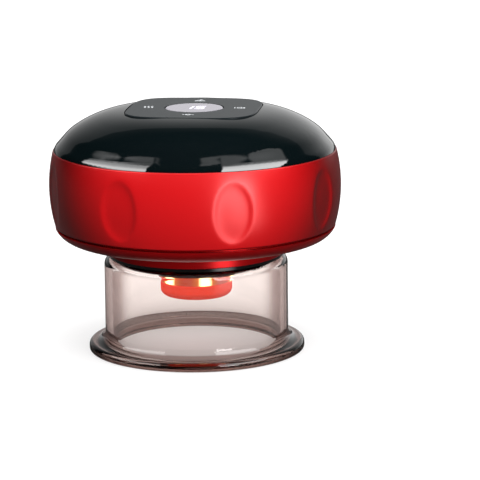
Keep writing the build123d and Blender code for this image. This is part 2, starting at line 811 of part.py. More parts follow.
# Lamp housing: tube with a roof and an inner core that carries the heater cap
heater_floor = heater_bottom + heater_wall
core_foot = heater_floor + heater_plate_thickness + heater_film_thickness + magnet_thickness + part_gap
lamp_board_underside = lens_top + part_gap + lamp_height
with BuildPart() as lamp_housing:
    with BuildSketch(Plane.XZ):
        with BuildLine():
            Polyline((wire_hole_radius, socket_roof), (lamp_housing_radius, socket_roof),
                     (lamp_housing_radius, lens_top),
                     (lamp_housing_radius - lamp_housing_wall, lens_top),
                     (lamp_housing_radius - lamp_housing_wall, socket_roof - lamp_housing_roof),
                     (heater_core_radius, socket_roof - lamp_housing_roof), (heater_core_radius, core_foot),
                     (heater_core_radius - heater_core_wall, core_foot),
                     (heater_core_radius - heater_core_wall, socket_roof - lamp_housing_roof),
                     (wire_hole_radius, socket_roof - lamp_housing_roof), close=True)
        make_face()
    revolve(axis=Axis.Z)
    with BuildSketch(Plane.XY.offset(socket_roof)):
        with Locations(*lamp_screw_places):
            Circle(small_screw_radius + screw_gap)
    extrude(amount=-lamp_housing_roof - overrun, mode=Mode.SUBTRACT)
lamp_housing.part.label = "lamp_housing"
export_step(lamp_housing.part, "parts/lamp_housing.step")

lamp_screws = small_screws(lamp_screw_places, socket_roof - lamp_housing_roof)
lamp_screws.label = "lamp_screws"
export_step(lamp_screws, "parts/lamp_screws.step")

# Lamps on their ring board above a thick clear ring
with BuildPart() as lamp_board:
    with BuildSketch(Plane.XY.offset(lamp_board_underside)):
        Circle(lamp_housing_radius - lamp_housing_wall - slide_gap)
        Circle(heater_neck_radius + part_gap, mode=Mode.SUBTRACT)
    extrude(amount=lamp_board_thickness)
lamp_board.part.label = "lamp_board"
export_step(lamp_board.part, "parts/lamp_board.step")

with BuildPart() as lamp_leds:
    with BuildSketch(Plane.XY.offset(lamp_board_underside)):
        with PolarLocations(lamp_circle_radius, lamp_count, start_angle=lamp_phase - 90):
            Rectangle(lamp_half_length * 2, lamp_half_width * 2)
    extrude(amount=-lamp_height)
    with BuildSketch(Plane.XY.offset(lamp_board_underside - lamp_height)):
        with PolarLocations(lamp_circle_radius, lamp_count, start_angle=lamp_phase - 90):
            Circle(lamp_half_length - edge_break)
    extrude(amount=lamp_height * slot_depth_share, mode=Mode.SUBTRACT)
lamp_leds.part.label = "lamp_leds"
export_step(lamp_leds.part, "parts/lamp_leds.step")

with BuildPart() as lamp_lens:
    with BuildSketch(Plane.XY.offset(lamp_lens_bottom)):
        Circle(lamp_housing_radius)
        Circle(heater_neck_radius + part_gap, mode=Mode.SUBTRACT)
    extrude(amount=lamp_lens_thickness)
    chamfer(edges().sort_by(Axis.Z)[0:2].sort_by(SortBy.RADIUS)[-1], edge_break)
lamp_lens.part.label = "lamp_lens"
export_step(lamp_lens.part, "parts/lamp_lens.step")

# Heater cap with a wide rim and a neck that grips the core, and plate, film, magnet and sensor in it
with BuildPart() as heater_cap:
    with BuildSketch(Plane.XZ):
        with BuildLine():
            Polyline((0, heater_bottom), (heater_radius, heater_bottom), (heater_radius, heater_shoulder),
                     (heater_neck_radius, heater_shoulder), (heater_neck_radius, heater_top),
                     (heater_bore, heater_top), (heater_bore, heater_floor), (0, heater_floor), close=True)
        make_face()
        fillet(corner(heater_radius, heater_bottom), heater_round)
        fillet(corner(heater_radius, heater_shoulder), edge_break)
    revolve(axis=Axis.Z)
heater_cap.part.label = "heater_cap"
export_step(heater_cap.part, "parts/heater_cap.step")

with BuildPart() as heater_plate:
    with BuildSketch(Plane.XY.offset(heater_floor)):
        Circle(heater_plate_radius)
    extrude(amount=heater_plate_thickness)
heater_plate.part.label = "heater_plate"
export_step(heater_plate.part, "parts/heater_plate.step")

film_bottom = heater_floor + heater_plate_thickness
with BuildPart() as heater_film:
    with BuildSketch(Plane.XY.offset(film_bottom)):
        Circle(film_radius)
    extrude(amount=heater_film_thickness)
heater_film.part.label = "heater_film"
export_step(heater_film.part, "parts/heater_film.step")

magnet_bottom = film_bottom + heater_film_thickness
with BuildPart() as heater_magnet:
    with BuildSketch(Plane.XY.offset(magnet_bottom)):
        Circle(magnet_radius)
    extrude(amount=magnet_thickness)
    chamfer(edges(), edge_break)
heater_magnet.part.label = "heater_magnet"
export_step(heater_magnet.part, "parts/heater_magnet.step")

with BuildPart() as thermistor:
    with BuildSketch(Plane.XY.offset(magnet_bottom)):
        with Locations((0, magnet_radius + sensor_width / 2 + part_gap)):
            Rectangle(sensor_length, sensor_width)
    extrude(amount=sensor_height)
thermistor.part.label = "thermistor"
export_step(thermistor.part, "parts/thermistor.step")

# Vacuum port through the socket's roof, with a foam filter below it
with BuildPart() as vacuum_port:
    with BuildSketch(Plane.XY.offset(socket_roof)):
        with Locations((port_place, 0)):
            Circle(port_radius)
    extrude(amount=socket_ceiling + port_height)
    with BuildSketch(Plane.XY.offset(deck_height)):
        with Locations((port_place, 0)):
            Circle(port_collar_radius)
    extrude(amount=port_collar_height)
    with BuildSketch(Plane.XY.offset(socket_roof)):
        with Locations((port_place, 0)):
            Circle(port_bore)
    extrude(amount=socket_ceiling + port_height, mode=Mode.SUBTRACT)
vacuum_port.part.label = "vacuum_port"
export_step(vacuum_port.part, "parts/vacuum_port.step")

with BuildPart() as air_filter:
    with BuildSketch(Plane.XY.offset(socket_roof)):
        with Locations((port_place, 0)):
            Circle(filter_radius)
    extrude(amount=-filter_thickness)
air_filter.part.label = "air_filter"
export_step(air_filter.part, "parts/air_filter.step")

# Lithium cell in its tray, with end contacts
cell_axis_height = deck_height + tray_floor + cell_radius + part_gap
with BuildPart() as battery_cell:
    with BuildSketch(Plane.YZ.offset(-cell_length / 2)):
        with Locations((cell_place_y, cell_axis_height)):
            Circle(cell_radius)
    extrude(amount=cell_length)
    fillet(edges().filter_by(GeomType.CIRCLE), edge_break * 2)
battery_cell.part.label = "battery_cell"
export_step(battery_cell.part, "parts/battery_cell.step")

with BuildPart() as battery_tray:
    with BuildSketch(Plane.YZ.offset(-tray_end - tray_wall)):
        with Locations((cell_place_y, deck_height + tray_height / 2)):
            Rectangle(tray_half * 2, tray_height)
    extrude(amount=(tray_end + tray_wall) * 2)
    with BuildSketch(Plane.YZ.offset(-tray_end)):
        with Locations((cell_place_y, cell_axis_height)):
            Circle(cell_radius + part_gap)
    extrude(amount=tray_end * 2, mode=Mode.SUBTRACT)
battery_tray.part.label = "battery_tray"
export_step(battery_tray.part, "parts/battery_tray.step")

contact_foot = cell_axis_height - cell_radius
contact_top = cell_axis_height + cell_radius + contact_rise
with BuildPart() as battery_contacts:
    for contact_x in (-tray_end, tray_end - contact_thickness):
        with BuildSketch(Plane.YZ.offset(contact_x)):
            with Locations((cell_place_y, (contact_foot + contact_top) / 2)):
                Rectangle(contact_width, contact_top - contact_foot)
        extrude(amount=contact_thickness)
battery_contacts.part.label = "battery_contacts"
export_step(battery_contacts.part, "parts/battery_contacts.step")

# Charging socket on its board at the back
shell_mouth = head_radius - band_wall / 2 - socket_setback
shell_back = shell_mouth - socket_depth
with BuildPart() as charge_socket:
    with BuildSketch(Plane.XZ.offset(-shell_back)):
        with Locations((0, charge_axis_height)):
            SlotOverall(socket_width, socket_tall)
    extrude(amount=-socket_depth)
    with BuildSketch(Plane.XZ.offset(-shell_back - socket_shell_wall)):
        with Locations((0, charge_axis_height)):
            SlotOverall(socket_width - socket_shell_wall * 2, socket_tall - socket_shell_wall * 2)
    extrude(amount=-socket_depth, mode=Mode.SUBTRACT)
charge_socket.part.label = "charge_socket"
export_step(charge_socket.part, "parts/charge_socket.step")

with BuildPart() as charge_tongue:
    with BuildSketch(Plane.XZ.offset(-shell_back - socket_shell_wall)):
        with Locations((0, charge_axis_height)):
            Rectangle(tongue_width, tongue_thickness)
    extrude(amount=-(socket_depth - socket_shell_wall - overrun))
charge_tongue.part.label = "charge_tongue"
export_step(charge_tongue.part, "parts/charge_tongue.step")

with BuildPart() as charge_board:
    with BuildSketch(Plane.XY.offset(charge_board_underside)):
        with Locations((0, charge_board_back - charge_board_depth / 2)):
            Rectangle(charge_board_width, charge_board_depth)
    extrude(amount=charge_board_thickness)
charge_board.part.label = "charge_board"
export_step(charge_board.part, "parts/charge_board.step")

# Pump motor: can, magnets, cap and bearings
motor_bore = motor_radius - motor_can_wall
motor_back = pump_split_x - motor_length
front_bearing_x = pump_split_x - bearing_length
armature_front = front_bearing_x - part_gap * 2
commutator_back = motor_back - motor_can_wall + bearing_length + brush_space
armature_length = armature_front - commutator_length - commutator_back
magnet_length = armature_length + magnet_overhang
with BuildPart() as pump_motor_can:
    with BuildSketch(Plane.YZ.offset(motor_back)):
        with Locations((pump_place_y, pump_axis_height)):
            Circle(motor_radius)
    extrude(amount=motor_length)
    with BuildSketch(Plane.YZ.offset(motor_back)):
        with Locations((pump_place_y, pump_axis_height)):
            Circle(motor_bore)
    extrude(amount=motor_length - motor_can_wall, mode=Mode.SUBTRACT)
    with BuildSketch(Plane.YZ.offset(motor_back)):
        with Locations((pump_place_y, pump_axis_height)):
            Circle(bearing_radius)
    extrude(amount=motor_length, mode=Mode.SUBTRACT)
pump_motor_can.part.label = "pump_motor_can"
export_step(pump_motor_can.part, "parts/pump_motor_can.step")

magnet_front = pump_split_x - motor_can_wall - bearing_length
with BuildPart() as pump_motor_magnets:
    with BuildSketch(Plane.YZ.offset(magnet_front - magnet_length)):
        with Locations((pump_place_y, pump_axis_height)):
            Circle(motor_bore - slide_gap)
            Circle(motor_bore - magnet_wall, mode=Mode.SUBTRACT)
            Rectangle(motor_radius, motor_radius * 2, mode=Mode.SUBTRACT)
    extrude(amount=magnet_length)
pump_motor_magnets.part.label = "pump_motor_magnets"
export_step(pump_motor_magnets.part, "parts/pump_motor_magnets.step")

with BuildPart() as pump_motor_cap:
    with BuildSketch(Plane.YZ.offset(motor_back)):
        with Locations((pump_place_y, pump_axis_height)):
            Circle(motor_bore - slide_gap)
    extrude(amount=motor_cap_thickness)
    with BuildSketch(Plane.YZ.offset(motor_back)):
        with Locations((pump_place_y, pump_axis_height)):
            Circle(motor_radius)
    extrude(amount=-motor_can_wall)
    with BuildSketch(Plane.YZ.offset(motor_back - motor_can_wall)):
        with Locations((pump_place_y, pump_axis_height)):
            Circle(bearing_radius)
    extrude(amount=motor_can_wall + motor_cap_thickness, mode=Mode.SUBTRACT)
pump_motor_cap.part.label = "pump_motor_cap"
export_step(pump_motor_cap.part, "parts/pump_motor_cap.step")

rear_bearing_x = motor_back - motor_can_wall
with BuildPart() as pump_bearings:
    for bearing_x in (rear_bearing_x, front_bearing_x):
        with BuildSketch(Plane.YZ.offset(bearing_x)):
            with Locations((pump_place_y, pump_axis_height)):
                Circle(bearing_radius - slide_gap / 2)
                Circle(shaft_radius + slide_gap, mode=Mode.SUBTRACT)
        extrude(amount=bearing_length)
pump_bearings.part.label = "pump_bearings"
export_step(pump_bearings.part, "parts/pump_bearings.step")

# Turning part of the pump: shaft, armature, commutator and crank
armature_radius = motor_bore - magnet_wall - magnet_gap
crank_back = pump_split_x + crankcase_wall + part_gap
with BuildPart() as pump_shaft:
    with BuildSketch(Plane.YZ.offset(rear_bearing_x)):
        with Locations((pump_place_y, pump_axis_height)):
            Circle(shaft_radius)
    extrude(amount=crank_back + crank_thickness - rear_bearing_x)
pump_shaft.part.label = "pump_shaft"
export_step(pump_shaft.part, "parts/pump_shaft.step")

with BuildPart() as pump_armature:
    with BuildSketch(Plane.YZ.offset(armature_front)):
        with Locations((pump_place_y, pump_axis_height)):
            Circle(armature_radius)
            with PolarLocations(armature_radius, pole_count):
                Rectangle(armature_slot_depth * 2, armature_slot_width, mode=Mode.SUBTRACT)
            Circle(shaft_radius, mode=Mode.SUBTRACT)
    extrude(amount=-armature_length)
pump_armature.part.label = "pump_armature"
export_step(pump_armature.part, "parts/pump_armature.step")

commutator_front = armature_front - armature_length
with BuildPart() as pump_commutator:
    with BuildSketch(Plane.YZ.offset(commutator_front)):
        with Locations((pump_place_y, pump_axis_height)):
            Circle(commutator_radius)
            Circle(shaft_radius, mode=Mode.SUBTRACT)
    extrude(amount=-commutator_length)
pump_commutator.part.label = "pump_commutator"
export_step(pump_commutator.part, "parts/pump_commutator.step")

crank_front = crank_back + crank_thickness
crankcase_front = pump_split_x + crankcase_length
with BuildPart() as pump_eccentric:
    with BuildSketch(Plane.YZ.offset(crank_back)):
        with Locations((pump_place_y, pump_axis_height)):
            Circle(crank_radius)
            Circle(shaft_radius, mode=Mode.SUBTRACT)
    extrude(amount=crank_thickness)
    with BuildSketch(Plane.YZ.offset(crank_front)):
        with Locations((pump_place_y, pump_axis_height + crank_offset)):
            Circle(crank_pin_radius)
    extrude(amount=crankcase_front - part_gap - crank_front)
pump_eccentric.part.label = "pump_eccentric"
export_step(pump_eccentric.part, "parts/pump_eccentric.step")

# Pump body: crankcase, yoke, diaphragm, valve plate, head and screws
pump_screw_place = pump_side / 2 - pump_screw_inset
pump_screw_places = [(pump_place_y + a * pump_screw_place, pump_axis_height + b * pump_screw_place)
                     for a in (-1, 1) for b in (-1, 1)]
with BuildPart() as pump_crankcase:
    with BuildSketch(Plane.YZ.offset(pump_split_x)):
        with Locations((pump_place_y, pump_axis_height)):
            Rectangle(pump_side, pump_side)
    extrude(amount=crankcase_length)
    fillet(edges().filter_by(Axis.X), edge_break)
    with BuildSketch(Plane.YZ.offset(pump_split_x + crankcase_wall)):
        with Locations((pump_place_y, pump_axis_height)):
            Circle(pump_side / 2 - crankcase_wall)
    extrude(amount=crankcase_length, mode=Mode.SUBTRACT)
    with BuildSketch(Plane.YZ.offset(pump_split_x)):
        with Locations((pump_place_y, pump_axis_height)):
            Circle(bearing_radius)
    extrude(amount=crankcase_length, mode=Mode.SUBTRACT)
    with BuildSketch(Plane.YZ.offset(crankcase_front)):
        with Locations(*pump_screw_places):
            Circle(pump_screw_radius + screw_gap)
    extrude(amount=-pump_screw_depth, mode=Mode.SUBTRACT)
pump_crankcase.part.label = "pump_crankcase"
export_step(pump_crankcase.part, "parts/pump_crankcase.step")

yoke_radius = pump_side / 2 - crankcase_wall - yoke_gap
yoke_bore = crank_offset + crank_pin_radius + part_gap
with BuildPart() as pump_yoke:
    with BuildSketch(Plane.YZ.offset(crankcase_front - yoke_thickness)):
        with Locations((pump_place_y, pump_axis_height)):
            Circle(yoke_radius)
            Circle(yoke_bore, mode=Mode.SUBTRACT)
    extrude(amount=yoke_thickness)
pump_yoke.part.label = "pump_yoke"
export_step(pump_yoke.part, "parts/pump_yoke.step")


def pump_slab(back, thickness):
    """One square layer of the pump body with its screw holes."""
    with BuildPart() as slab:
        with BuildSketch(Plane.YZ.offset(back)):
            with Locations((pump_place_y, pump_axis_height)):
                Rectangle(pump_side, pump_side)
        extrude(amount=thickness)
        fillet(edges().filter_by(Axis.X), edge_break)
        with BuildSketch(Plane.YZ.offset(back)):
            with Locations(*pump_screw_places):
                Circle(pump_screw_radius + screw_gap)
        extrude(amount=thickness, mode=Mode.SUBTRACT)
    return slab.part


valve_plate_back = crankcase_front + diaphragm_thickness
pump_head_back = valve_plate_back + valve_plate_thickness
pump_head_front = pump_head_back + pump_head_thickness
with BuildPart() as pump_diaphragm:
    add(pump_slab(crankcase_front, diaphragm_thickness))
pump_diaphragm.part.label = "pump_diaphragm"
export_step(pump_diaphragm.part, "parts/pump_diaphragm.step")

with BuildPart() as pump_valve_plate:
    add(pump_slab(valve_plate_back, valve_plate_thickness))
    with BuildSketch(Plane.YZ.offset(valve_plate_back)):
        with Locations((pump_place_y, pump_axis_height)):
            with PolarLocations(diaphragm_bump_radius * 2, pole_count):
                Circle(diaphragm_bump_radius)
    extrude(amount=valve_plate_thickness / 2, mode=Mode.SUBTRACT)
pump_valve_plate.part.label = "pump_valve_plate"
export_step(pump_valve_plate.part, "parts/pump_valve_plate.step")

nipple_places = [(pump_place_y, pump_axis_height - pump_nipple_place),
                 (pump_place_y, pump_axis_height + pump_nipple_place)]
with BuildPart() as pump_head:
    add(pump_slab(pump_head_back, pump_head_thickness))
    with BuildSketch(Plane.YZ.offset(pump_head_front)):
        with Locations(*nipple_places):
            Circle(port_radius)
    extrude(amount=pump_nipple_length)
    with BuildSketch(Plane.YZ.offset(pump_head_front + pump_nipple_length)):
        with Locations(*nipple_places):
            Circle(port_bore)
    extrude(amount=-(pump_nipple_length + pump_head_thickness), mode=Mode.SUBTRACT)
pump_head.part.label = "pump_head"
export_step(pump_head.part, "parts/pump_head.step")

with BuildPart() as pump_screws:
    with BuildSketch(Plane.YZ.offset(pump_head_front)):
        with Locations(*pump_screw_places):
            Circle(pump_screw_radius)
    extrude(amount=-(pump_head_front - crankcase_front + pump_screw_depth - screw_gap))
    with BuildSketch(Plane.YZ.offset(pump_head_front)):
        with Locations(*pump_screw_places):
            Circle(pump_screw_radius * 2)
    extrude(amount=small_screw_head_height)
pump_screws.part.label = "pump_screws"
export_step(pump_screws.part, "parts/pump_screws.step")

cradle_place_x = motor_back + motor_length / 2
with BuildPart() as pump_cradle:
    with BuildSketch(Plane.YZ.offset(cradle_place_x - cradle_length / 2)):
        with Locations((pump_place_y, (deck_height + pump_axis_height) / 2)):
            Rectangle(cradle_half_width * 2, pump_axis_height - deck_height)
        with Locations((pump_place_y, pump_axis_height)):
            Circle(motor_radius + slide_gap, mode=Mode.SUBTRACT)
    extrude(amount=cradle_length)
pump_cradle.part.label = "pump_cradle"
export_step(pump_cradle.part, "parts/pump_cradle.step")

# Release valve: steel frame, bobbin, coil, head, plunger and spring
valve_frame_foot = valve_pad_top
valve_frame_top = tee_height - valve_head_height / 2
valve_frame_height = valve_frame_top - valve_frame_foot
with BuildPart() as valve_frame:
    with BuildSketch(Plane.XZ.offset(-valve_half)):
        with Locations((valve_place_x, valve_frame_foot + valve_frame_height / 2)):
            Rectangle(valve_half * 2, valve_frame_height)
            Rectangle((valve_half - valve_frame_wall) * 2, valve_frame_height - valve_frame_wall * 2,
                      mode=Mode.SUBTRACT)
    extrude(amount=valve_half * 2)
    with BuildSketch(Plane.XY.offset(valve_frame_top)):
        with Locations((valve_place_x, 0)):
            Circle(bobbin_radius)
    extrude(amount=-valve_frame_wall, mode=Mode.SUBTRACT)
valve_frame.part.label = "valve_frame"
export_step(valve_frame.part, "parts/valve_frame.step")

bobbin_foot = valve_frame_foot + valve_frame_wall
bobbin_top = valve_frame_top - valve_frame_wall
with BuildPart() as valve_bobbin:
    with BuildSketch(Plane.XY.offset(bobbin_foot)):
        with Locations((valve_place_x, 0)):
            Circle(bobbin_radius)
    extrude(amount=bobbin_top - bobbin_foot)
    for flange_foot in (bobbin_foot, bobbin_top - bobbin_flange_thickness):
        with BuildSketch(Plane.XY.offset(flange_foot)):
            with Locations((valve_place_x, 0)):
                Circle(bobbin_flange_radius)
        extrude(amount=bobbin_flange_thickness)
    with BuildSketch(Plane.XY.offset(bobbin_foot)):
        with Locations((valve_place_x, 0)):
            Circle(bobbin_bore)
    extrude(amount=bobbin_top - bobbin_foot, mode=Mode.SUBTRACT)
valve_bobbin.part.label = "valve_bobbin"
export_step(valve_bobbin.part, "parts/valve_bobbin.step")

coil_foot = bobbin_foot + bobbin_flange_thickness + slide_gap
coil_top = bobbin_top - bobbin_flange_thickness - slide_gap
with BuildPart() as valve_coil:
    with BuildSketch(Plane.XY.offset(coil_foot)):
        with Locations((valve_place_x, 0)):
            Circle(bobbin_radius + slide_gap + coil_wall)
            Circle(bobbin_radius + slide_gap, mode=Mode.SUBTRACT)
    extrude(amount=coil_top - coil_foot)
valve_coil.part.label = "valve_coil"
export_step(valve_coil.part, "parts/valve_coil.step")

with BuildPart() as valve_head:
    with BuildSketch(Plane.XY.offset(valve_frame_top)):
        with Locations((valve_place_x, 0)):
            Rectangle(valve_half * 2, valve_half * 2)
    extrude(amount=valve_head_height)
    fillet(edges().filter_by(Axis.Z), edge_break)
    with BuildSketch(Plane.YZ.offset(valve_place_x)):
        with Locations((0, tee_height)):
            Circle(port_radius)
    extrude(amount=valve_half + pump_nipple_length)
    with BuildSketch(Plane.YZ.offset(valve_place_x)):
        with Locations((0, tee_height)):
            Circle(port_bore)
    extrude(amount=valve_half + pump_nipple_length, mode=Mode.SUBTRACT)
    with BuildSketch(Plane.XY.offset(valve_frame_top)):
        with Locations((valve_place_x, 0)):
            Circle(port_bore)
    extrude(amount=valve_head_height / 2, mode=Mode.SUBTRACT)
    with BuildSketch(Plane.XY.offset(valve_frame_top)):
        with Locations((valve_place_x, 0)):
            Circle(bobbin_bore)
    extrude(amount=plunger_stroke, mode=Mode.SUBTRACT)
valve_head.part.label = "valve_head"
export_step(valve_head.part, "parts/valve_head.step")

plunger_radius = bobbin_bore - screw_gap
plunger_tip = valve_frame_top - slide_gap
plunger_shoulder = plunger_tip - plunger_nose_length
with BuildPart() as valve_plunger:
    with BuildSketch(Plane.XY.offset(bobbin_foot)):
        with Locations((valve_place_x, 0)):
            Circle(plunger_radius)
    extrude(amount=plunger_shoulder - bobbin_foot)
    with BuildSketch(Plane.XY.offset(plunger_shoulder)):
        with Locations((valve_place_x, 0)):
            Circle(plunger_nose_radius)
    extrude(amount=plunger_nose_length)
valve_plunger.part.label = "valve_plunger"
export_step(valve_plunger.part, "parts/valve_plunger.step")

spring_top = valve_frame_top + plunger_stroke
with BuildPart() as valve_spring:
    with BuildSketch(Plane.XY.offset(plunger_shoulder)):
        with Locations((valve_place_x, 0)):
            Circle(plunger_nose_radius + slide_gap + spring_wall)
            Circle(plunger_nose_radius + slide_gap, mode=Mode.SUBTRACT)
    extrude(amount=spring_top - plunger_shoulder)
valve_spring.part.label = "valve_spring"
export_step(valve_spring.part, "parts/valve_spring.step")

# Three-way fitting and silicone hoses
tee_half = hose_radius + screw_gap
tee_reach = tee_half + tee_nipple_length
port_hose_foot = deck_height + port_collar_height
with BuildPart() as air_tee:
    with BuildSketch(Plane.XY.offset(tee_height - tee_half)):
        with Locations((port_place, 0)):
            Rectangle(tee_half * 2, tee_half * 2)
    extrude(amount=tee_half * 2)
    fillet(edges(), edge_break)
    with BuildSketch(Plane.YZ.offset(port_place - tee_reach)):
        with Locations((0, tee_height)):
            Circle(port_radius)
    extrude(amount=tee_reach * 2)
    with BuildSketch(Plane.XY.offset(tee_height - tee_half)):
        with Locations((port_place, 0)):
            Circle(port_radius)
    extrude(amount=-tee_nipple_length)
    with BuildSketch(Plane.YZ.offset(port_place - tee_reach)):
        with Locations((0, tee_height)):
            Circle(port_bore)
    extrude(amount=tee_reach * 2, mode=Mode.SUBTRACT)
    with BuildSketch(Plane.XY.offset(tee_height - tee_reach)):
        with Locations((port_place, 0)):
            Circle(tee_branch_bore)
    extrude(amount=tee_reach, mode=Mode.SUBTRACT)
air_tee.part.label = "air_tee"
export_step(air_tee.part, "parts/air_tee.step")

pump_hose_foot = max(pump_head_front + pump_nipple_length, port_place + tee_reach)
pump_hose_reach = pump_hose_foot + hose_bend_radius + overrun
with BuildPart() as air_hoses:
    with BuildSketch(Plane.XY.offset(port_hose_foot)):
        with Locations((port_place, 0)):
            Circle(hose_radius)
            Circle(hose_bore, mode=Mode.SUBTRACT)
    extrude(amount=tee_height - tee_half - port_hose_foot)
    with BuildSketch(Plane.YZ.offset(valve_place_x + valve_half)):
        with Locations((0, tee_height)):
            Circle(hose_radius)
            Circle(hose_bore, mode=Mode.SUBTRACT)
    extrude(amount=port_place - tee_half - valve_place_x - valve_half)
    with BuildLine() as pump_hose_path:
        FilletPolyline((pump_head_front, pump_place_y, tee_height),
                       (pump_hose_reach, pump_place_y, tee_height),
                       (pump_hose_reach, 0, tee_height), (port_place + tee_half, 0, tee_height),
                       radius=hose_bend_radius)
    with BuildSketch(Plane.YZ.offset(pump_head_front)):
        with Locations((pump_place_y, tee_height)):
            Circle(hose_radius)
            Circle(hose_bore, mode=Mode.SUBTRACT)
    sweep(path=pump_hose_path.line)
air_hoses.part.label = "air_hoses"
export_step(air_hoses.part, "parts/air_hoses.step")

# Leads of the cell, the motor and the lamps, up to the main board
lamp_lead_bottom = socket_roof - lamp_housing_roof
lamp_lead_turn = deck_height + lead_rise
lamp_lead_side = hose_radius + lead_hose_gap + lead_radius
motor_lead_x = rear_bearing_x - terminal_reach
terminal_height = pump_axis_height + terminal_place
with BuildPart() as lead_wires:
    for lead_x in (-tray_end + contact_thickness / 2, tray_end - contact_thickness / 2):
        with BuildSketch(Plane.XY.offset(contact_top)):
            with Locations((lead_x, cell_place_y)):
                Circle(lead_radius)
        extrude(amount=board_underside - contact_top)
    for side in (-1, 1):
        with BuildLine() as lamp_lead:
            FilletPolyline((side * lead_spread, lead_offset, lamp_lead_bottom),
                           (side * lead_spread, lead_offset, lamp_lead_turn),
                           (side * lead_spread, lamp_lead_side, lamp_lead_turn + lead_slope_rise),
                           (side * lead_spread, lamp_lead_side, board_underside), radius=lead_bend)
        with BuildSketch(Plane.XY.offset(lamp_lead_bottom)):
            with Locations((side * lead_spread, lead_offset)):
                Circle(lead_radius)
        sweep(path=lamp_lead.line)
    for side in (-1, 1):
        lead_y = pump_place_y + side * terminal_place
        with BuildLine() as motor_lead:
            FilletPolyline((rear_bearing_x, lead_y, terminal_height),
                           (motor_lead_x, lead_y, terminal_height),
                           (motor_lead_x, lead_y, board_underside), radius=lead_bend)
        with BuildSketch(Plane.YZ.offset(rear_bearing_x)):
            with Locations((lead_y, terminal_height)):
                Circle(lead_radius)
        sweep(path=motor_lead.line)
lead_wires.part.label = "lead_wires"
export_step(lead_wires.part, "parts/lead_wires.step")
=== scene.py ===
import math

import bmesh
import bpy
from bpy.props import FloatProperty, FloatVectorProperty, IntProperty, PointerProperty
from bpy.types import Operator, Panel, PropertyGroup
from mathutils import Matrix, Vector


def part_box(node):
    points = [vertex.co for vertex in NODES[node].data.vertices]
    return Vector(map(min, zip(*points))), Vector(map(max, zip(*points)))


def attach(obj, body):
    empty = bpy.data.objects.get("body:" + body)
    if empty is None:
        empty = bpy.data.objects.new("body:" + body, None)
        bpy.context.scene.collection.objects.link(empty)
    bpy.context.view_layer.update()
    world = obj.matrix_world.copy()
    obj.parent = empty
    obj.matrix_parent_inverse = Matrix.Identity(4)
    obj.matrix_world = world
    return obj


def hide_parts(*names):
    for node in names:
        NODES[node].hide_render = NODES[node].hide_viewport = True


bl_info = {
    "name": "Cupping Massager Finishes",
    "version": (1, 0, 0),
    "blender": (4, 5, 0),
    "location": "View3D > Sidebar > Massager",
    "description": "Grip band, display marks, finishes and studio for an electric cupping massager",
    "category": "Object",
}

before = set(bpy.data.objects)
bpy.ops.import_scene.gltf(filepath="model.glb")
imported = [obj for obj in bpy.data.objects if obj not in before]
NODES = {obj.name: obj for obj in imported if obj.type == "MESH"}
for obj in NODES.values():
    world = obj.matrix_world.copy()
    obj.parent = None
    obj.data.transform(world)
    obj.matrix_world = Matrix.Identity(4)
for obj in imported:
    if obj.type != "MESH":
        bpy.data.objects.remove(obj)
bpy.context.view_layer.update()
BAND_LOW, BAND_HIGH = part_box("grip_band")
PANEL_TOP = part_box("control_panel")[1].z
WINDOW_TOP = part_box("display_window")[1].z
HEATER_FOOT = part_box("heater_cap")[0].z
LAMP_COUNT = 6
LAMP_PHASE = -68.0  # direction of one lamp, in degrees
WHITE = (1, 1, 1, 1)

# Points round the grip band, rows of its outside and inside, and points of the charging slot's outline
BAND_POINTS, BAND_ROWS, BAND_INNER_ROWS, SLOT_POINTS = 448, 64, 8, 32
# How softly a dimple starts at its rim, and how flat its floor is
DIMPLE_SOFT, DIMPLE_FLAT = 0.13, 0.45

# The floor, in metres, and its greys in mirrors and to the camera
FLOOR_RADIUS, FLOOR_DROP, FLOOR_DIM, FLOOR_PALE = 5, 0.0001, 0.05, 0.86
FLOOR_WHITENESS, FLOOR_CARD = 0.55, 6.0
# Strengths of the world: white background, mirrored panels and soft light; and the panels' least glow
SKY_WHITE, SKY_PANELS, SKY_SOFT, PANEL_LEAST = 1.0, 5.5, 4.0, 0.08
# The front light: direction in degrees, distance and size in metres, power in watts
LIGHT_AZIMUTH, LIGHT_ELEVATION, LIGHT_DISTANCE = 41, 5, 0.9
LIGHT_WIDTH, LIGHT_TALL, LIGHT_POWER, LIGHT_AIM_HEIGHT = 0.32, 0.24, 2.6, 0.045
# The camera: direction and roll in degrees, places in metres, lens in millimetres
CAMERA_AZIMUTH, CAMERA_ROLL, CAMERA_DISTANCE, CAMERA_HEIGHT = 8.0, -0.5, 0.85, 0.214
CAMERA_AIM_RIGHT, CAMERA_AIM_HEIGHT, CAMERA_LENS, CAMERA_SENSOR = 0.0149, 0.0365, 192.9, 36.0


def length(name, description, default):
    """A length property in metres."""
    return FloatProperty(name=name, description=description, default=default, unit="LENGTH",
                         precision=5)


def tint(name, description, default):
    """A linear colour property."""
    return FloatVectorProperty(name=name, description=description, default=default, size=3,
                               subtype="COLOR", min=0, max=1)


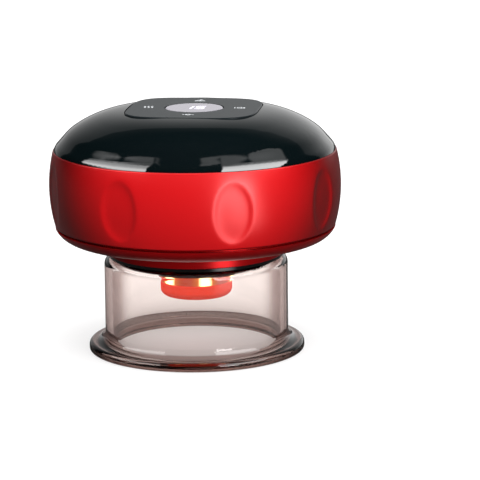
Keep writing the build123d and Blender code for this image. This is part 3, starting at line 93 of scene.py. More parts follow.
class MassagerSizes(PropertyGroup):
    """Sizes of the pieces that are made here."""

    band_foot_radius: length("Band foot radius", "Radius of the grip band at its lower edge", 0.04715)
    band_waist_radius: length("Band waist radius", "Largest radius of the grip band", 0.049)
    band_seam_radius: length("Band seam radius", "Radius of the grip band below the black cover", 0.0475)
    band_wall: length("Band wall", "Thickness of the grip band", 0.0022)
    band_foot_round: length("Foot round", "Rounding of the band's lower edge", 0.0006)
    band_seam_round: length("Seam round", "Rounding of the band's upper edge", 0.0003)
    dimple_count: IntProperty(name="Dimples", description="Finger dimples round the band", default=8,
                              min=1)
    dimple_depth: length("Dimple depth", "Depth of a finger dimple", 0.00082)
    dimple_half_width: length("Dimple half width", "Half the width of a finger dimple", 0.0064)
    dimple_half_height: length("Dimple half height", "Half the height of a finger dimple", 0.0098)
    dimple_drop: length("Dimple drop", "How far the dimples lie below the band's middle", 0.00065)
    charge_slot_height: length("Charging slot height", "Height of the charging slot's middle", 0.0501)
    charge_slot_width: length("Charging slot width", "Width of the charging slot", 0.00954)
    charge_slot_tall: length("Charging slot tallness", "Height of the charging slot", 0.00386)
    key_place: length("Key place", "Distance of the touch marks from the display's middle", 0.0154)
    mark_stroke: length("Mark stroke", "Width of the strokes of the touch marks", 0.00042)
    mark_height: length("Mark height", "How far printed marks stand proud", 0.00004)
    digit_width: length("Digit width", "Width of a digit on the display", 0.0026)
    digit_tall: length("Digit height", "Height of a digit on the display", 0.0052)
    flange_full: length("Flange tint full", "Height below which the cup has its full tint", 0.0024)
    flange_clear: length("Flange tint end", "Height at which the flange's tint ends", 0.0036)
    wall_full: length("Wall tint full", "Height below which the cup's wall is tinted most", 0.003)
    wall_clear: length("Wall tint end", "Height at which the wall's extra tint ends", 0.012)
    # The shoulder's darker tint between these heights is painted shade and dark reflection.
    shoulder_shade_start: length("Shoulder tint start", "Height at which the shoulder's tint starts", 0.0318)
    shoulder_shade_full: length("Shoulder tint full", "Height above which the shoulder is tinted", 0.03195)
    # The heater's dimmer lower edge between these heights is painted shade.
    heater_dim: length("Heater dim", "Height on the heater below which it is dimmest", 0.0012)
    heater_lit: length("Heater lit", "Height on the heater above which it is fully lit", 0.0026)


class MassagerColours(PropertyGroup):
    """Colours of the finishes."""

    band_red: tint("Band red", "Satin red of the grip band and underside", (0.72, 0.006, 0.009))
    cover_black: tint("Cover black", "High gloss of the domed cover", (0.0022, 0.0048, 0.0056))
    panel_grey: tint("Panel grey", "Hard-coated touch panel", (0.010, 0.014, 0.016))
    mark_white: tint("Mark white", "Printed touch marks", (0.62, 0.64, 0.66))
    display_pale: tint("Display", "Pale display window", (0.28, 0.265, 0.30))
    digit_light: tint("Digits", "Light of the display's digits", (0.80, 0.78, 0.90))
    smoke_brown: tint("Smoke", "Smoked clear plastic of the cup", (0.60, 0.50, 0.46))
    smoke_straight: tint("Smoke straight", "Tint of the cup seen straight on", (1.0, 0.95, 0.93))
    smoke_aslant: tint("Smoke aslant", "Tint of the cup seen aslant", (0.28, 0.19, 0.175))
    # This colour also serves as the painted shade and dark reflection on the cup's shoulder.
    smoke_flange_and_shade: tint("Smoke thick", "Tint of the cup's flange and shoulder", (0.30, 0.20, 0.18))
    lamp_amber: tint("Lamp", "Light of the ring of lamps", (1.0, 0.42, 0.08))
    ring_body: tint("Ring", "Unlit colour of the clear ring below the lamps", (0.10, 0.03, 0.01))
    ring_gap: tint("Ring gap", "Glow of the ring between the lamps", (0.12, 0.008, 0.0012))
    ring_near: tint("Ring near", "Glow of the ring beside a lamp", (0.18, 0.04, 0.004))
    ring_spot: tint("Ring spot", "Glow of the ring below a lamp", (1.0, 0.72, 0.34))
    heater_red: tint("Heater", "Glow of the heater cap", (0.90, 0.042, 0.012))


def sizes():
    """The size properties of the scene."""
    return bpy.context.scene.massager_sizes


def colours():
    """The colour properties of the scene."""
    return bpy.context.scene.massager_colours


class Shade:
    """A number that comes out of a node, for use in Python expressions."""

    def __init__(self, finish, socket):
        self.finish = finish
        self.socket = socket

    def __add__(self, other):
        return self.finish.maths("ADD", self, other)

    def __mul__(self, other):
        return self.finish.maths("MULTIPLY", self, other)

    def __sub__(self, other):
        return self.finish.maths("SUBTRACT", self, other)

    def __rsub__(self, other):
        return self.finish.maths("SUBTRACT", other, self)

    def or_more(self, other):
        """The larger of two numbers."""
        return self.finish.maths("MAXIMUM", self, other)

    def ramp(self, low, high):
        """Rises smoothly from 0 at one value to 1 at another."""
        return self.finish.node("ShaderNodeMapRange", {"interpolation_type": "SMOOTHSTEP"},
                                {"Value": self, "From Min": low, "From Max": high})


class Finish:
    """A node material, or a world, that is built up step by step."""

    def __init__(self, name, world=None):
        self.made = world or bpy.data.materials.new(name)
        self.made.use_nodes = True
        self.tree = self.made.node_tree
        self.tree.nodes.clear()

    def node(self, kind, settings=None, values=None, output=0):
        """Adds one node: its settings first, then the values or links of its sockets."""
        added = self.tree.nodes.new(kind)
        for name, setting in (settings or {}).items():
            setattr(added, name, setting)
        for name, value in (values or {}).items():
            if isinstance(value, Shade):
                self.tree.links.new(value.socket, added.inputs[name])
            else:
                added.inputs[name].default_value = value
        return Shade(self, added.outputs[output])

    def maths(self, operation, *numbers):
        """One step of arithmetic."""
        return self.node("ShaderNodeMath", {"operation": operation}, dict(enumerate(numbers)))

    def places(self):
        """Object coordinates."""
        return self.node("ShaderNodeTexCoord", output="Object")

    def axes(self, vector):
        """The three coordinates of a vector."""
        parts = self.node("ShaderNodeSeparateXYZ", None, {"Vector": vector}).socket.node
        return [Shade(self, parts.outputs[axis]) for axis in "XYZ"]

    def facing(self):
        """0 where the surface faces the eye, and 1 at its outline."""
        return self.node("ShaderNodeLayerWeight", None, {"Blend": 0.5}, output="Facing")

    def rays(self):
        """Whether a ray comes straight or through clear pieces, and whether it comes from a mirror."""
        kinds = [self.node("ShaderNodeLightPath", output=f"Is {kind} Ray")
                 for kind in ("Camera", "Transmission", "Glossy")]
        return kinds[0] + kinds[1], kinds[2]

    def noise(self, scale, detail=3):
        """Fine unevenness over the surface, from 0 to 1."""
        return self.node("ShaderNodeTexNoise", None, {"Vector": self.places(), "Scale": scale,
                                                      "Detail": detail})

    def mixed(self, factor, first, second):
        """A colour between two colours."""
        return self.node("ShaderNodeMix", {"data_type": "RGBA"},
                         {"Factor": factor, "A": first, "B": second}, output="Result")

    def blended(self, factor, first, second):
        """A shader between two shaders."""
        return self.node("ShaderNodeMixShader", None, {0: factor, 1: first, 2: second})

    def bump(self, height, strength, distance):
        """A small relief."""
        return self.node("ShaderNodeBump", None, {"Height": height, "Strength": strength,
                                                  "Distance": distance})

    def surface(self, **values):
        """The usual shader; words in the names of its sockets are joined by underscores."""
        named = {name.replace("_", " "): value for name, value in values.items()}
        return self.node("ShaderNodeBsdfPrincipled", None, named)

    def output(self, shader, kind="Material", **values):
        """Ends the material or world."""
        end = self.tree.nodes.new("ShaderNodeOutput" + kind)
        for name, value in {"Surface": shader, **values}.items():
            self.tree.links.new(value.socket, end.inputs[name])
        return self.made


def solid(colour):
    """A colour with full alpha."""
    return (*colour, 1)


def darker(colour, share):
    """A colour with its light cut to a share."""
    return (*(part * share for part in colour), 1)


def dress(material, *names):
    """Puts a material in the slots of CAD nodes."""
    for name in names:
        for material_slot in NODES[name].material_slots:
            material_slot.material = material


def plain_finish(name, colour, roughness, metallic=0.0, grain=900.0, depth=0.00002, coat=0.0):
    """Moulded, cast or plated finish with a fine grain and a little unevenness in colour and gloss."""
    finish = Finish(name)
    fine = finish.noise(grain)
    broad = finish.noise(grain / 12, detail=2)
    base = finish.mixed(fine * 0.6 + broad * 0.4, darker(colour, 0.82), solid(colour))
    return finish.output(finish.surface(
        Base_Color=base, Metallic=metallic, Roughness=broad * 0.12 + (roughness - 0.06),
        Coat_Weight=coat, Normal=finish.bump(fine, 0.25, depth)))


def add_piece(name, mesh, material, body):
    """Puts a finished mesh in the scene, on its body."""
    piece = bpy.data.objects.new(name, mesh)
    bpy.context.scene.collection.objects.link(piece)
    mesh.materials.append(material)
    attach(piece, body)
    return piece


def made_mesh(name, form):
    """A mesh from a finished form, with its faces turned outwards."""
    mesh = bpy.data.meshes.new(name)
    bmesh.ops.recalc_face_normals(form, faces=form.faces)
    form.to_mesh(mesh)
    form.free()
    return mesh


def arc_through(low, middle, high):
    """Centre and radius of the circle through three points of a profile."""
    (ax, ay), (bx, by), (cx, cy) = low, middle, high
    d = 2 * (ax * (by - cy) + bx * (cy - ay) + cx * (ay - by))
    a, b, c = ax * ax + ay * ay, bx * bx + by * by, cx * cx + cy * cy
    x = (a * (by - cy) + b * (cy - ay) + c * (ay - by)) / d
    y = (a * (cx - bx) + b * (ax - cx) + c * (bx - ax)) / d
    return x, y, math.hypot(ax - x, ay - y)


def satin_red(name, metallic, gloss, edge):
    """Satin red lacquer with fine flakes; its colour is darkened towards the outline, where it turns
    away from the eye, as painted shade.
    """
    finish = Finish(name)
    red = colours().band_red
    flakes = finish.noise(9000, detail=1)
    broad = finish.noise(70, detail=2)
    base = finish.mixed(flakes, darker(red, 0.86), solid(red))
    # Painted shade: the base colour is darkened towards the outline, down to the share of red given by
    # edge.
    base = finish.mixed(finish.facing().ramp(0.08, 0.64), base, darker(red, edge))
    return finish.output(finish.surface(
        Base_Color=base, Metallic=metallic, Roughness=flakes * 0.05 + broad * 0.04 + 0.25,
        Specular_IOR_Level=gloss, Normal=finish.bump(flakes, 0.06, 0.00001)))


def gloss_black():
    """Polished black cover with the faint waviness of a moulding."""
    finish = Finish("Polished black")
    black = colours().cover_black
    broad = finish.noise(38, detail=1)
    fine = finish.noise(1400, detail=2)
    return finish.output(finish.surface(
        Base_Color=finish.mixed(broad, darker(black, 0.8), solid(black)),
        Roughness=fine * 0.02 + 0.025, IOR=2.0,
        Normal=finish.bump(broad, 0.05, 0.0002)))


def panel_coat():
    """Hard-coated dark grey touch panel with a very fine texture."""
    finish = Finish("Hard-coated panel")
    grey = colours().panel_grey
    fine = finish.noise(5200, detail=2)
    broad = finish.noise(60, detail=2)
    return finish.output(finish.surface(
        Base_Color=finish.mixed(fine * 0.5 + broad * 0.5, darker(grey, 0.86), solid(grey)),
        Roughness=fine * 0.06 + 0.26, Specular_IOR_Level=0.1, Normal=finish.bump(fine, 0.1, 0.00001)))


def glow(name, colour, dim, strength, roughness=0.35, grain=700.0):
    """Translucent plastic lit from inside, a little brighter in places."""
    finish = Finish(name)
    broad = finish.noise(grain, detail=2)
    lit = finish.mixed(broad, darker(colour, dim), solid(colour))
    return finish.output(finish.surface(
        Base_Color=lit, Emission_Color=lit, Emission_Strength=strength, Roughness=roughness))


def smoked_clear(name, density, roughness):
    """Clear tinted plastic, darker where it is seen aslant through more of its thickness, in its flange
    and low on its wall, with painted shade and dark reflection on its shoulder.
    """
    finish = Finish(name)
    c, s = colours(), sizes()
    fine = finish.noise(300, detail=2)
    height = finish.axes(finish.places())[2]
    # The shoulder's part of this darkening is painted shade and dark reflection; the flange and the low
    # wall are simply tinted darker.
    tint_and_shade = (height.ramp(s.flange_clear, s.flange_full) + height.ramp(s.shoulder_shade_start, s.shoulder_shade_full)
             + height.ramp(s.wall_clear, s.wall_full) * 0.3)
    colour = finish.mixed(finish.facing().ramp(0.34, 0.64), solid(c.smoke_straight),
                          solid(c.smoke_aslant))
    shader = finish.surface(Base_Color=finish.mixed(tint_and_shade, colour, solid(c.smoke_flange_and_shade)),
                            Roughness=fine * 0.02 + roughness, IOR=1.49, Transmission_Weight=1.0)
    inside = finish.node("ShaderNodeVolumeAbsorption", None,
                         {"Color": solid(c.smoke_brown), "Density": density})
    return finish.output(shader, Volume=inside)


def lit_ring():
    """Clear ring that glows below each lamp."""
    finish = Finish("Lamp ring")
    c = colours()
    x, y, _ = finish.axes(finish.places())
    turn = finish.maths("ARCTAN2", y, x) - math.radians(LAMP_PHASE)
    beat = finish.maths("COSINE", turn * LAMP_COUNT)
    between = finish.mixed(beat.ramp(-0.9, 0.5), solid(c.ring_gap), solid(c.ring_near))
    lit = finish.mixed(beat.ramp(0.3, 0.95), between, solid(c.ring_spot))
    return finish.output(finish.surface(
        Base_Color=solid(c.ring_body), Emission_Color=lit, Emission_Strength=4.0,
        Roughness=finish.noise(500) * 0.1 + 0.2, Specular_IOR_Level=0.1))


def heater_glow():
    """Red heater cap lit from inside, with painted shade that makes it dimmer at its rounded lower edge.
    """
    finish = Finish("Heater glow")
    s, red = sizes(), colours().heater_red
    height = finish.axes(finish.places())[2] - HEATER_FOOT
    lit = finish.mixed(finish.noise(160, detail=2), darker(red, 0.85), solid(red))
    # Painted shade: below the rounded lower edge the glow is cut to 0.62 of itself.
    lit = finish.mixed(height.ramp(s.heater_lit, s.heater_dim), lit, darker(red, 0.62))
    return finish.output(finish.surface(Base_Color=darker(red, 0.25), Emission_Color=lit,
                                        Emission_Strength=0.95, Roughness=0.5, Specular_IOR_Level=0.0))


def round_cut(round_radius, depth):
    """How far a rounded edge lies inside the unrounded shape at a depth below its corner."""
    if depth >= round_radius:
        return 0.0
    return round_radius - math.sqrt(max(round_radius ** 2 - (round_radius - depth) ** 2, 0))


def band_reach(turn, height, arc):
    """Radius of the band's outside at an angle and height, with dimples and rounded edges."""
    s = sizes()
    centre, level, radius = arc
    reach = centre + math.sqrt(max(radius * radius - (height - level) ** 2, 0))
    reach -= round_cut(s.band_foot_round, height - BAND_LOW.z)
    reach -= round_cut(s.band_seam_round, BAND_HIGH.z - height)
    step = 2 * math.pi / s.dimple_count
    aside = ((turn + step) % step - step / 2) * s.band_waist_radius
    rise = height - (BAND_LOW.z + BAND_HIGH.z) / 2 + s.dimple_drop
    inside = 1 - (aside / s.dimple_half_width) ** 2 - (rise / s.dimple_half_height) ** 2
    inside = (inside + math.sqrt(inside * inside + DIMPLE_SOFT * DIMPLE_SOFT)) / 2
    return reach - s.dimple_depth * inside * (1 + DIMPLE_FLAT) / (inside + DIMPLE_FLAT)


def band_mesh():
    """The grip band without its charging slot: rings up the outside and down the inside."""
    s = sizes()
    tall = BAND_HIGH.z - BAND_LOW.z
    arc = arc_through((s.band_foot_radius, BAND_LOW.z),
                      (s.band_waist_radius, (BAND_LOW.z + BAND_HIGH.z) / 2),
                      (s.band_seam_radius, BAND_HIGH.z))
    centre, level, radius = arc
    turns = [2 * math.pi * n / BAND_POINTS for n in range(BAND_POINTS)]
    rings = []
    for row in range(BAND_ROWS + 1):
        height = BAND_LOW.z + tall * (1 - math.cos(math.pi * row / BAND_ROWS)) / 2
        rings.append([(band_reach(turn, height, arc), height) for turn in turns])
    for row in range(BAND_INNER_ROWS + 1):
        height = BAND_HIGH.z - tall * row / BAND_INNER_ROWS
        reach = centre + math.sqrt(radius ** 2 - (height - level) ** 2) - s.band_wall
        rings.append([(reach, height)] * BAND_POINTS)
    form = bmesh.new()
    loops = [[form.verts.new((reach * math.cos(turn), reach * math.sin(turn), height))
              for turn, (reach, height) in zip(turns, ring)] for ring in rings]
    for lower, upper in zip(loops, loops[1:] + loops[:1]):
        for n in range(BAND_POINTS):
            m = (n + 1) % BAND_POINTS
            form.faces.new((lower[n], lower[m], upper[m], upper[n]))
    return made_mesh("GripBand", form)


def slot_mesh():
    """The body that cuts the charging slot through the back of the band."""
    s = sizes()
    half = s.charge_slot_tall / 2
    reach = s.charge_slot_width / 2 - half
    outline = []
    for n in range(SLOT_POINTS):
        turn = (2 * n + 1) * math.pi / SLOT_POINTS
        side = reach if math.cos(turn) > 0 else -reach
        outline.append((side + half * math.cos(turn), half * math.sin(turn)))
    form = bmesh.new()
    near, far = ([form.verts.new((x, depth, s.charge_slot_height + z)) for x, z in outline]
                 for depth in (s.band_seam_radius - s.band_wall * 2, s.band_waist_radius + s.band_wall))
    form.faces.new(near)
    form.faces.new(far[::-1])
    for n in range(SLOT_POINTS):
        m = (n + 1) % SLOT_POINTS
        form.faces.new((near[n], far[n], far[m], near[m]))
    return made_mesh("ChargeSlotCutter", form)


class MASSAGER_OT_grip_band(Operator):
    """Makes the red grip band with its softly edged finger dimples"""
    bl_idname = "massager.grip_band"
    bl_label = "Grip Band"

    def execute(self, context):
        whole = bpy.data.objects.new("GripBandWhole", band_mesh())
        cutter = bpy.data.objects.new("ChargeSlotCutter", slot_mesh())
        for helper in (whole, cutter):
            context.scene.collection.objects.link(helper)
        cut = whole.modifiers.new("Charging slot", "BOOLEAN")
        cut.operation, cut.solver, cut.object = "DIFFERENCE", "EXACT", cutter
        context.view_layer.update()
        shaped = bpy.data.meshes.new_from_object(whole.evaluated_get(context.evaluated_depsgraph_get()))
        for helper in (whole, cutter):
            bpy.data.objects.remove(helper)
        shaped.shade_smooth()
        shaped.set_sharp_from_angle(angle=math.radians(40))
        # The last number is the share of red kept in the painted edge shade.
        lacquer = satin_red("Satin red lacquer", 0.1, 0.4, 0.18)
        band = add_piece("GripBand", shaped, lacquer, "housing")
        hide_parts("grip_band")
        return {"FINISHED"}


class MASSAGER_OT_bottom_cover(Operator):
    """Finishes the red underside, the black gasket and the seal in the socket"""
    bl_idname = "massager.bottom_cover"
    bl_label = "Bottom Cover and Rings"

    def execute(self, context):
        # The last number is the share of red kept in the painted edge shade.
        dress(satin_red("Satin red moulding", 0.45, 0.2, 0.5), "bottom_cover")
        dress(plain_finish("Black silicone", (0.004, 0.003, 0.003), 0.16, grain=1500),
              "neck_gasket", "cup_seal")
        return {"FINISHED"}


class MASSAGER_OT_top_cover(Operator):
    """Finishes the domed cover"""
    bl_idname = "massager.top_cover"
    bl_label = "Top Cover"

    def execute(self, context):
        dress(gloss_black(), "top_cover")
        return {"FINISHED"}


def add_stroke(form, points, width, low, high):
    """Adds one flat stroke along points, with round ends unless it closes on itself."""
    places = [Vector(point) for point in points]
    closed = (places[0] - places[-1]).length < width / 10
    if closed:
        places.pop()
    count = len(places)
    sides = ([], [])
    for n, place in enumerate(places):
        before = places[n - 1] if closed or n else place
        after = places[(n + 1) % count] if closed or n < count - 1 else place
        along = (after - before).normalized()
        across = Vector((-along.y, along.x)) * width / 2
        sides[0].append(place + across)
        sides[1].append(place - across)
    if not closed:
        caps = []
        for place, along in ((places[-1], places[-1] - places[-2]), (places[0], places[0] - places[1])):
            start = math.atan2(along.y, along.x)
            caps.append([place + Vector((math.cos(start + turn), math.sin(start + turn))) * width / 2
                         for turn in (math.pi * (n / 6 - 0.5) for n in range(1, 6))])
        sides = (sides[0] + caps[0][::-1] + sides[1][::-1] + caps[1][::-1],)
    levels = [[[form.verts.new((p.x, p.y, z)) for p in side] for side in sides] for z in (low, high)]
    for n in range(len(sides[0])):
        m = (n + 1) % len(sides[0])
        for side, sign in zip(range(len(sides)), (1, -1)):
            wall = (levels[0][side][n], levels[0][side][m], levels[1][side][m], levels[1][side][n])
            form.faces.new(wall[::sign])
        if closed:
            for level, sign in zip(levels, (1, -1)):
                form.faces.new((level[0][n], level[0][m], level[1][m], level[1][n])[::sign])
    if not closed:
        form.faces.new(levels[1][0])
        form.faces.new(levels[0][0][::-1])


def ring_points(x, y, radius, start=0, sweep=360, steps=20):
    """Points of an arc, in degrees."""
    return [(x + radius * math.cos(math.radians(start + sweep * n / steps)),
             y + radius * math.sin(math.radians(start + sweep * n / steps))) for n in range(steps + 1)]


def wave_points(x, low, high, swing, steps=14):
    """Points of a rising wavy line."""
    return [(x + swing * math.sin(2 * math.pi * n / steps), low + (high - low) * n / steps)
            for n in range(steps + 1)]


DIGIT_BARS = {"1": "bc", "5": "afgcd"}


def digit_strokes(digit, x, width, tall, slant):
    """Strokes of one digit of seven bars, leaning a little."""
    corners = {"tl": (0, 1), "tr": (1, 1), "ml": (0, 0.5), "mr": (1, 0.5), "bl": (0, 0), "br": (1, 0)}
    bars = {"a": ("tl", "tr"), "b": ("tr", "mr"), "c": ("mr", "br"), "d": ("bl", "br"),
            "e": ("ml", "bl"), "f": ("tl", "ml"), "g": ("ml", "mr")}
    strokes = []
    for bar in DIGIT_BARS[digit]:
        ends = []
        for name in bars[bar]:
            u, v = corners[name]
            ends.append((x + u * width + slant * (v - 0.5) * tall, (v - 0.5) * tall))
        middle = Vector(ends[0]).lerp(Vector(ends[1]), 0.5)
        strokes.append([tuple(middle.lerp(Vector(end), 0.80)) for end in ends])
    return strokes


def strokes_mesh(name, strokes, width, low, high):
    """A mesh of flat strokes, each a hair higher than the one before."""
    form = bmesh.new()
    for n, points in enumerate(strokes):
        add_stroke(form, points, width, low, high + (high - low) * n / 40)
    return made_mesh(name, form)


class MASSAGER_OT_panel(Operator):
    """Finishes the touch panel and adds its printed marks and the digits of the display"""
    bl_idname = "massager.panel"
    bl_label = "Touch Panel and Display"

    def execute(self, context):
        s = sizes()
        key, mm = s.key_place, 0.001
        heat = [wave_points(-key + dx * mm, -1.5 * mm, 1.5 * mm, 0.3 * mm) for dx in (-1.2, 0, 1.2)]
        power = [ring_points(key + 0.35 * mm, 0, 1.25 * mm, 110, 320),
                 [(key + 0.35 * mm, 0.4 * mm), (key + 0.35 * mm, 1.6 * mm)],
                 [(key - 1.75 * mm, -0.5 * mm), (key - 1.75 * mm, 0.6 * mm)]]
        suction = [ring_points(0, key - 1.3 * mm, 1.5 * mm, 20, 140),
                   [(-1.7 * mm, key - 1.3 * mm), (1.7 * mm, key - 1.3 * mm)],
                   [(0, key + 0.6 * mm), (0, key + 1.5 * mm)],
                   [(-0.5 * mm, key + 1.1 * mm), (0, key + 1.6 * mm), (0.5 * mm, key + 1.1 * mm)]]
        level = [ring_points(0, -key, 0.75 * mm), [(-1.8 * mm, -key), (-1.35 * mm, -key)],
                 [(1.35 * mm, -key), (1.8 * mm, -key)]]
        marks = strokes_mesh("TouchMarks", heat + power + suction + level, s.mark_stroke,
                             PANEL_TOP - s.mark_height, PANEL_TOP + s.mark_height)
        print_white = plain_finish("Printed white", colours().mark_white, 0.5, grain=4000)
        add_piece("TouchMarks", marks, print_white, "housing")
        gap = s.digit_width * 0.55
        strokes = digit_strokes("1", -gap / 2 - s.digit_width, s.digit_width, s.digit_tall, 0.12)
        strokes += digit_strokes("5", gap / 2, s.digit_width, s.digit_tall, 0.12)
        digits = strokes_mesh("DisplayDigits", strokes, s.mark_stroke * 1.7,
                              WINDOW_TOP - s.mark_height, WINDOW_TOP + s.mark_height)
        add_piece("DisplayDigits", digits, glow("Display digits", colours().digit_light, 0.95, 0.35),
                  "housing")
        dress(panel_coat(), "control_panel")
        dress(glow("Display window", colours().display_pale, 0.93, 0.12, 0.12, 260), "display_window")
        dress(plain_finish("Black foam", (0.008, 0.008, 0.009), 0.85, grain=2600, depth=0.0001),
              "panel_tape")
        dress(plain_finish("White display block", (0.6, 0.6, 0.6), 0.5), "display_module")
        return {"FINISHED"}


class MASSAGER_OT_cup(Operator):
    """Finishes the smoked clear cup"""
    bl_idname = "massager.cup"
    bl_label = "Cup"

    def execute(self, context):
        dress(smoked_clear("Smoked clear plastic", density=80.0, roughness=0.0), "cup")
        return {"FINISHED"}


class MASSAGER_OT_lamp_module(Operator):
    """Finishes the lamp and heater module that glows inside the cup"""
    bl_idname = "massager.lamp_module"
    bl_label = "Lamp and Heater Module"

    def execute(self, context):
        c = colours()
        dress(plain_finish("Black module moulding", (0.02, 0.008, 0.007), 0.35), "lamp_housing")
        dress(lit_ring(), "lamp_lens")
        dress(glow("Lamp light", c.lamp_amber, 0.85, 9.0), "lamp_leds")
        dress(heater_glow(), "heater_cap")
        dress(plain_finish("White lamp board", (0.55, 0.5, 0.42), 0.5, grain=600), "lamp_board")
        dress(plain_finish("Pressed plate", (0.70, 0.70, 0.71), 0.35, 1.0, 1200), "heater_plate")
        dress(plain_finish("Amber film", (0.55, 0.20, 0.02), 0.3, grain=800), "heater_film")
        dress(plain_finish("Plated magnet", (0.62, 0.62, 0.64), 0.2, 1.0, 1800), "heater_magnet")
        dress(plain_finish("Sensor bead", (0.03, 0.03, 0.03), 0.45), "thermistor")
        return {"FINISHED"}


class MASSAGER_OT_boards(Operator):
    """Finishes the circuit boards and what is soldered on them"""
    bl_idname = "massager.boards"
    bl_label = "Circuit Boards"

    def execute(self, context):
        dress(plain_finish("Green solder mask", (0.012, 0.13, 0.05), 0.32, grain=420, coat=0.3),
              "touch_board", "main_board", "charge_board")
        dress(plain_finish("Chip black", (0.02, 0.02, 0.022), 0.5, grain=2200), "main_board_parts",
              "charge_tongue")
        dress(plain_finish("Buzzer black", (0.014, 0.014, 0.015), 0.4), "buzzer")
        dress(plain_finish("Plated socket", (0.60, 0.59, 0.56), 0.24, 1.0, 1600), "charge_socket",
              "battery_contacts")
        dress(plain_finish("Red lead", (0.42, 0.012, 0.012), 0.42, grain=1200), "lead_wires")
        return {"FINISHED"}


class MASSAGER_OT_battery(Operator):
    """Finishes the cell and its tray"""
    bl_idname = "massager.battery"
    bl_label = "Battery"

    def execute(self, context):
        dress(plain_finish("Blue shrink sleeve", (0.012, 0.07, 0.34), 0.25, grain=300, coat=0.4),
              "battery_cell")
        dress(plain_finish("Black tray", (0.02, 0.02, 0.02), 0.55), "battery_tray")
        return {"FINISHED"}


class MASSAGER_OT_pump(Operator):
    """Finishes the air pump and its motor"""
    bl_idname = "massager.pump"
    bl_label = "Air Pump"

    def execute(self, context):
        dress(plain_finish("Zinc-plated steel", (0.46, 0.47, 0.48), 0.33, 1.0, 1400), "pump_motor_can",
              "pump_shaft")
        dress(plain_finish("Ferrite", (0.06, 0.06, 0.062), 0.6, 0.0, 1600, 0.00005),
              "pump_motor_magnets")
        dress(plain_finish("Sintered bronze", (0.40, 0.24, 0.10), 0.45, 1.0, 3000, 0.00004),
              "pump_bearings")
        dress(plain_finish("Copper", (0.62, 0.25, 0.11), 0.3, 1.0, 1500), "pump_armature",
              "pump_commutator")
        dress(plain_finish("Black pump moulding", (0.018, 0.018, 0.02), 0.5), "pump_crankcase",
              "pump_valve_plate", "pump_head")
        dress(plain_finish("Grey pump moulding", (0.24, 0.24, 0.25), 0.5), "pump_eccentric", "pump_yoke")
        dress(plain_finish("Pump rubber", (0.03, 0.03, 0.03), 0.7, grain=2000), "pump_diaphragm")
        dress(plain_finish("Foam cradle", (0.02, 0.02, 0.02), 0.9, grain=2400, depth=0.0002),
              "pump_cradle", "air_filter")
        return {"FINISHED"}


class MASSAGER_OT_air_line(Operator):
    """Finishes the release valve, the fittings and the hoses"""
    bl_idname = "massager.air_line"
    bl_label = "Valve and Hoses"

    def execute(self, context):
        dress(plain_finish("White fitting", (0.70, 0.70, 0.68), 0.42), "vacuum_port", "air_tee",
              "valve_head", "valve_bobbin", "pump_motor_cap")
        dress(plain_finish("Milky silicone", (0.60, 0.60, 0.57), 0.4, grain=500), "air_hoses")
        dress(plain_finish("Valve steel", (0.50, 0.50, 0.51), 0.3, 1.0, 1500), "valve_frame",
              "valve_plunger", "valve_spring")
        dress(plain_finish("Enamelled wire", (0.50, 0.17, 0.05), 0.3, 0.6, 2600, 0.0001), "valve_coil")
        return {"FINISHED"}


class MASSAGER_OT_fasteners(Operator):
    """Finishes the screws and contact springs"""
    bl_idname = "massager.fasteners"
    bl_label = "Screws and Springs"

    def execute(self, context):
        dress(plain_finish("Zinc screws", (0.50, 0.51, 0.53), 0.28, 1.0, 1800), "touch_screws",
              "board_screws", "case_screws", "lamp_screws", "pump_screws")
        dress(plain_finish("Spring steel", (0.58, 0.58, 0.58), 0.22, 1.0, 1800), "touch_springs")
        return {"FINISHED"}


def direction(azimuth, elevation=0):
    """A unit vector away from the object; azimuth 0 is in front, 90 on the right, in degrees."""
    a, e = math.radians(azimuth), math.radians(elevation)
    return Vector((math.sin(a) * math.cos(e), -math.cos(a) * math.cos(e), math.sin(e)))


def add_floor(scene):
    """A white floor, which mirrors in the pieces as a dim one with a bright card on the right."""
    mesh = bpy.data.meshes.new("Floor")
    form = bmesh.new()
    bmesh.ops.create_circle(form, cap_ends=True, radius=FLOOR_RADIUS, segments=96)
    form.to_mesh(mesh)
    form.free()
    floor = bpy.data.objects.new("Floor", mesh)
    scene.collection.objects.link(floor)
    floor.location.z = -FLOOR_DROP
    finish = Finish("Pale floor")
    seen, mirrored = finish.rays()
    dim, pale = (finish.node("ShaderNodeBsdfDiffuse", None, {"Color": (grey, grey, grey, 1)})
                 for grey in (FLOOR_DIM, FLOOR_PALE))
    white, card = (finish.node("ShaderNodeEmission", None, {"Color": WHITE, "Strength": strength})
                   for strength in (1.0, FLOOR_CARD))
    place = finish.places()
    x, y, _ = finish.axes(place)
    turn = finish.maths("ARCTAN2", x, y * -1)
    away = finish.node("ShaderNodeVectorMath", {"operation": "LENGTH"}, {0: place}, output="Value")
    patch = (turn.ramp(0.42, 0.66) * turn.ramp(1.05, 0.80)
             * away.ramp(0.12, 0.22) * away.ramp(3.0, 1.0))
    lit = finish.blended(seen * FLOOR_WHITENESS, finish.blended(seen, dim, pale), white)
    mesh.materials.append(finish.output(finish.blended(patch * mirrored, lit, card)))


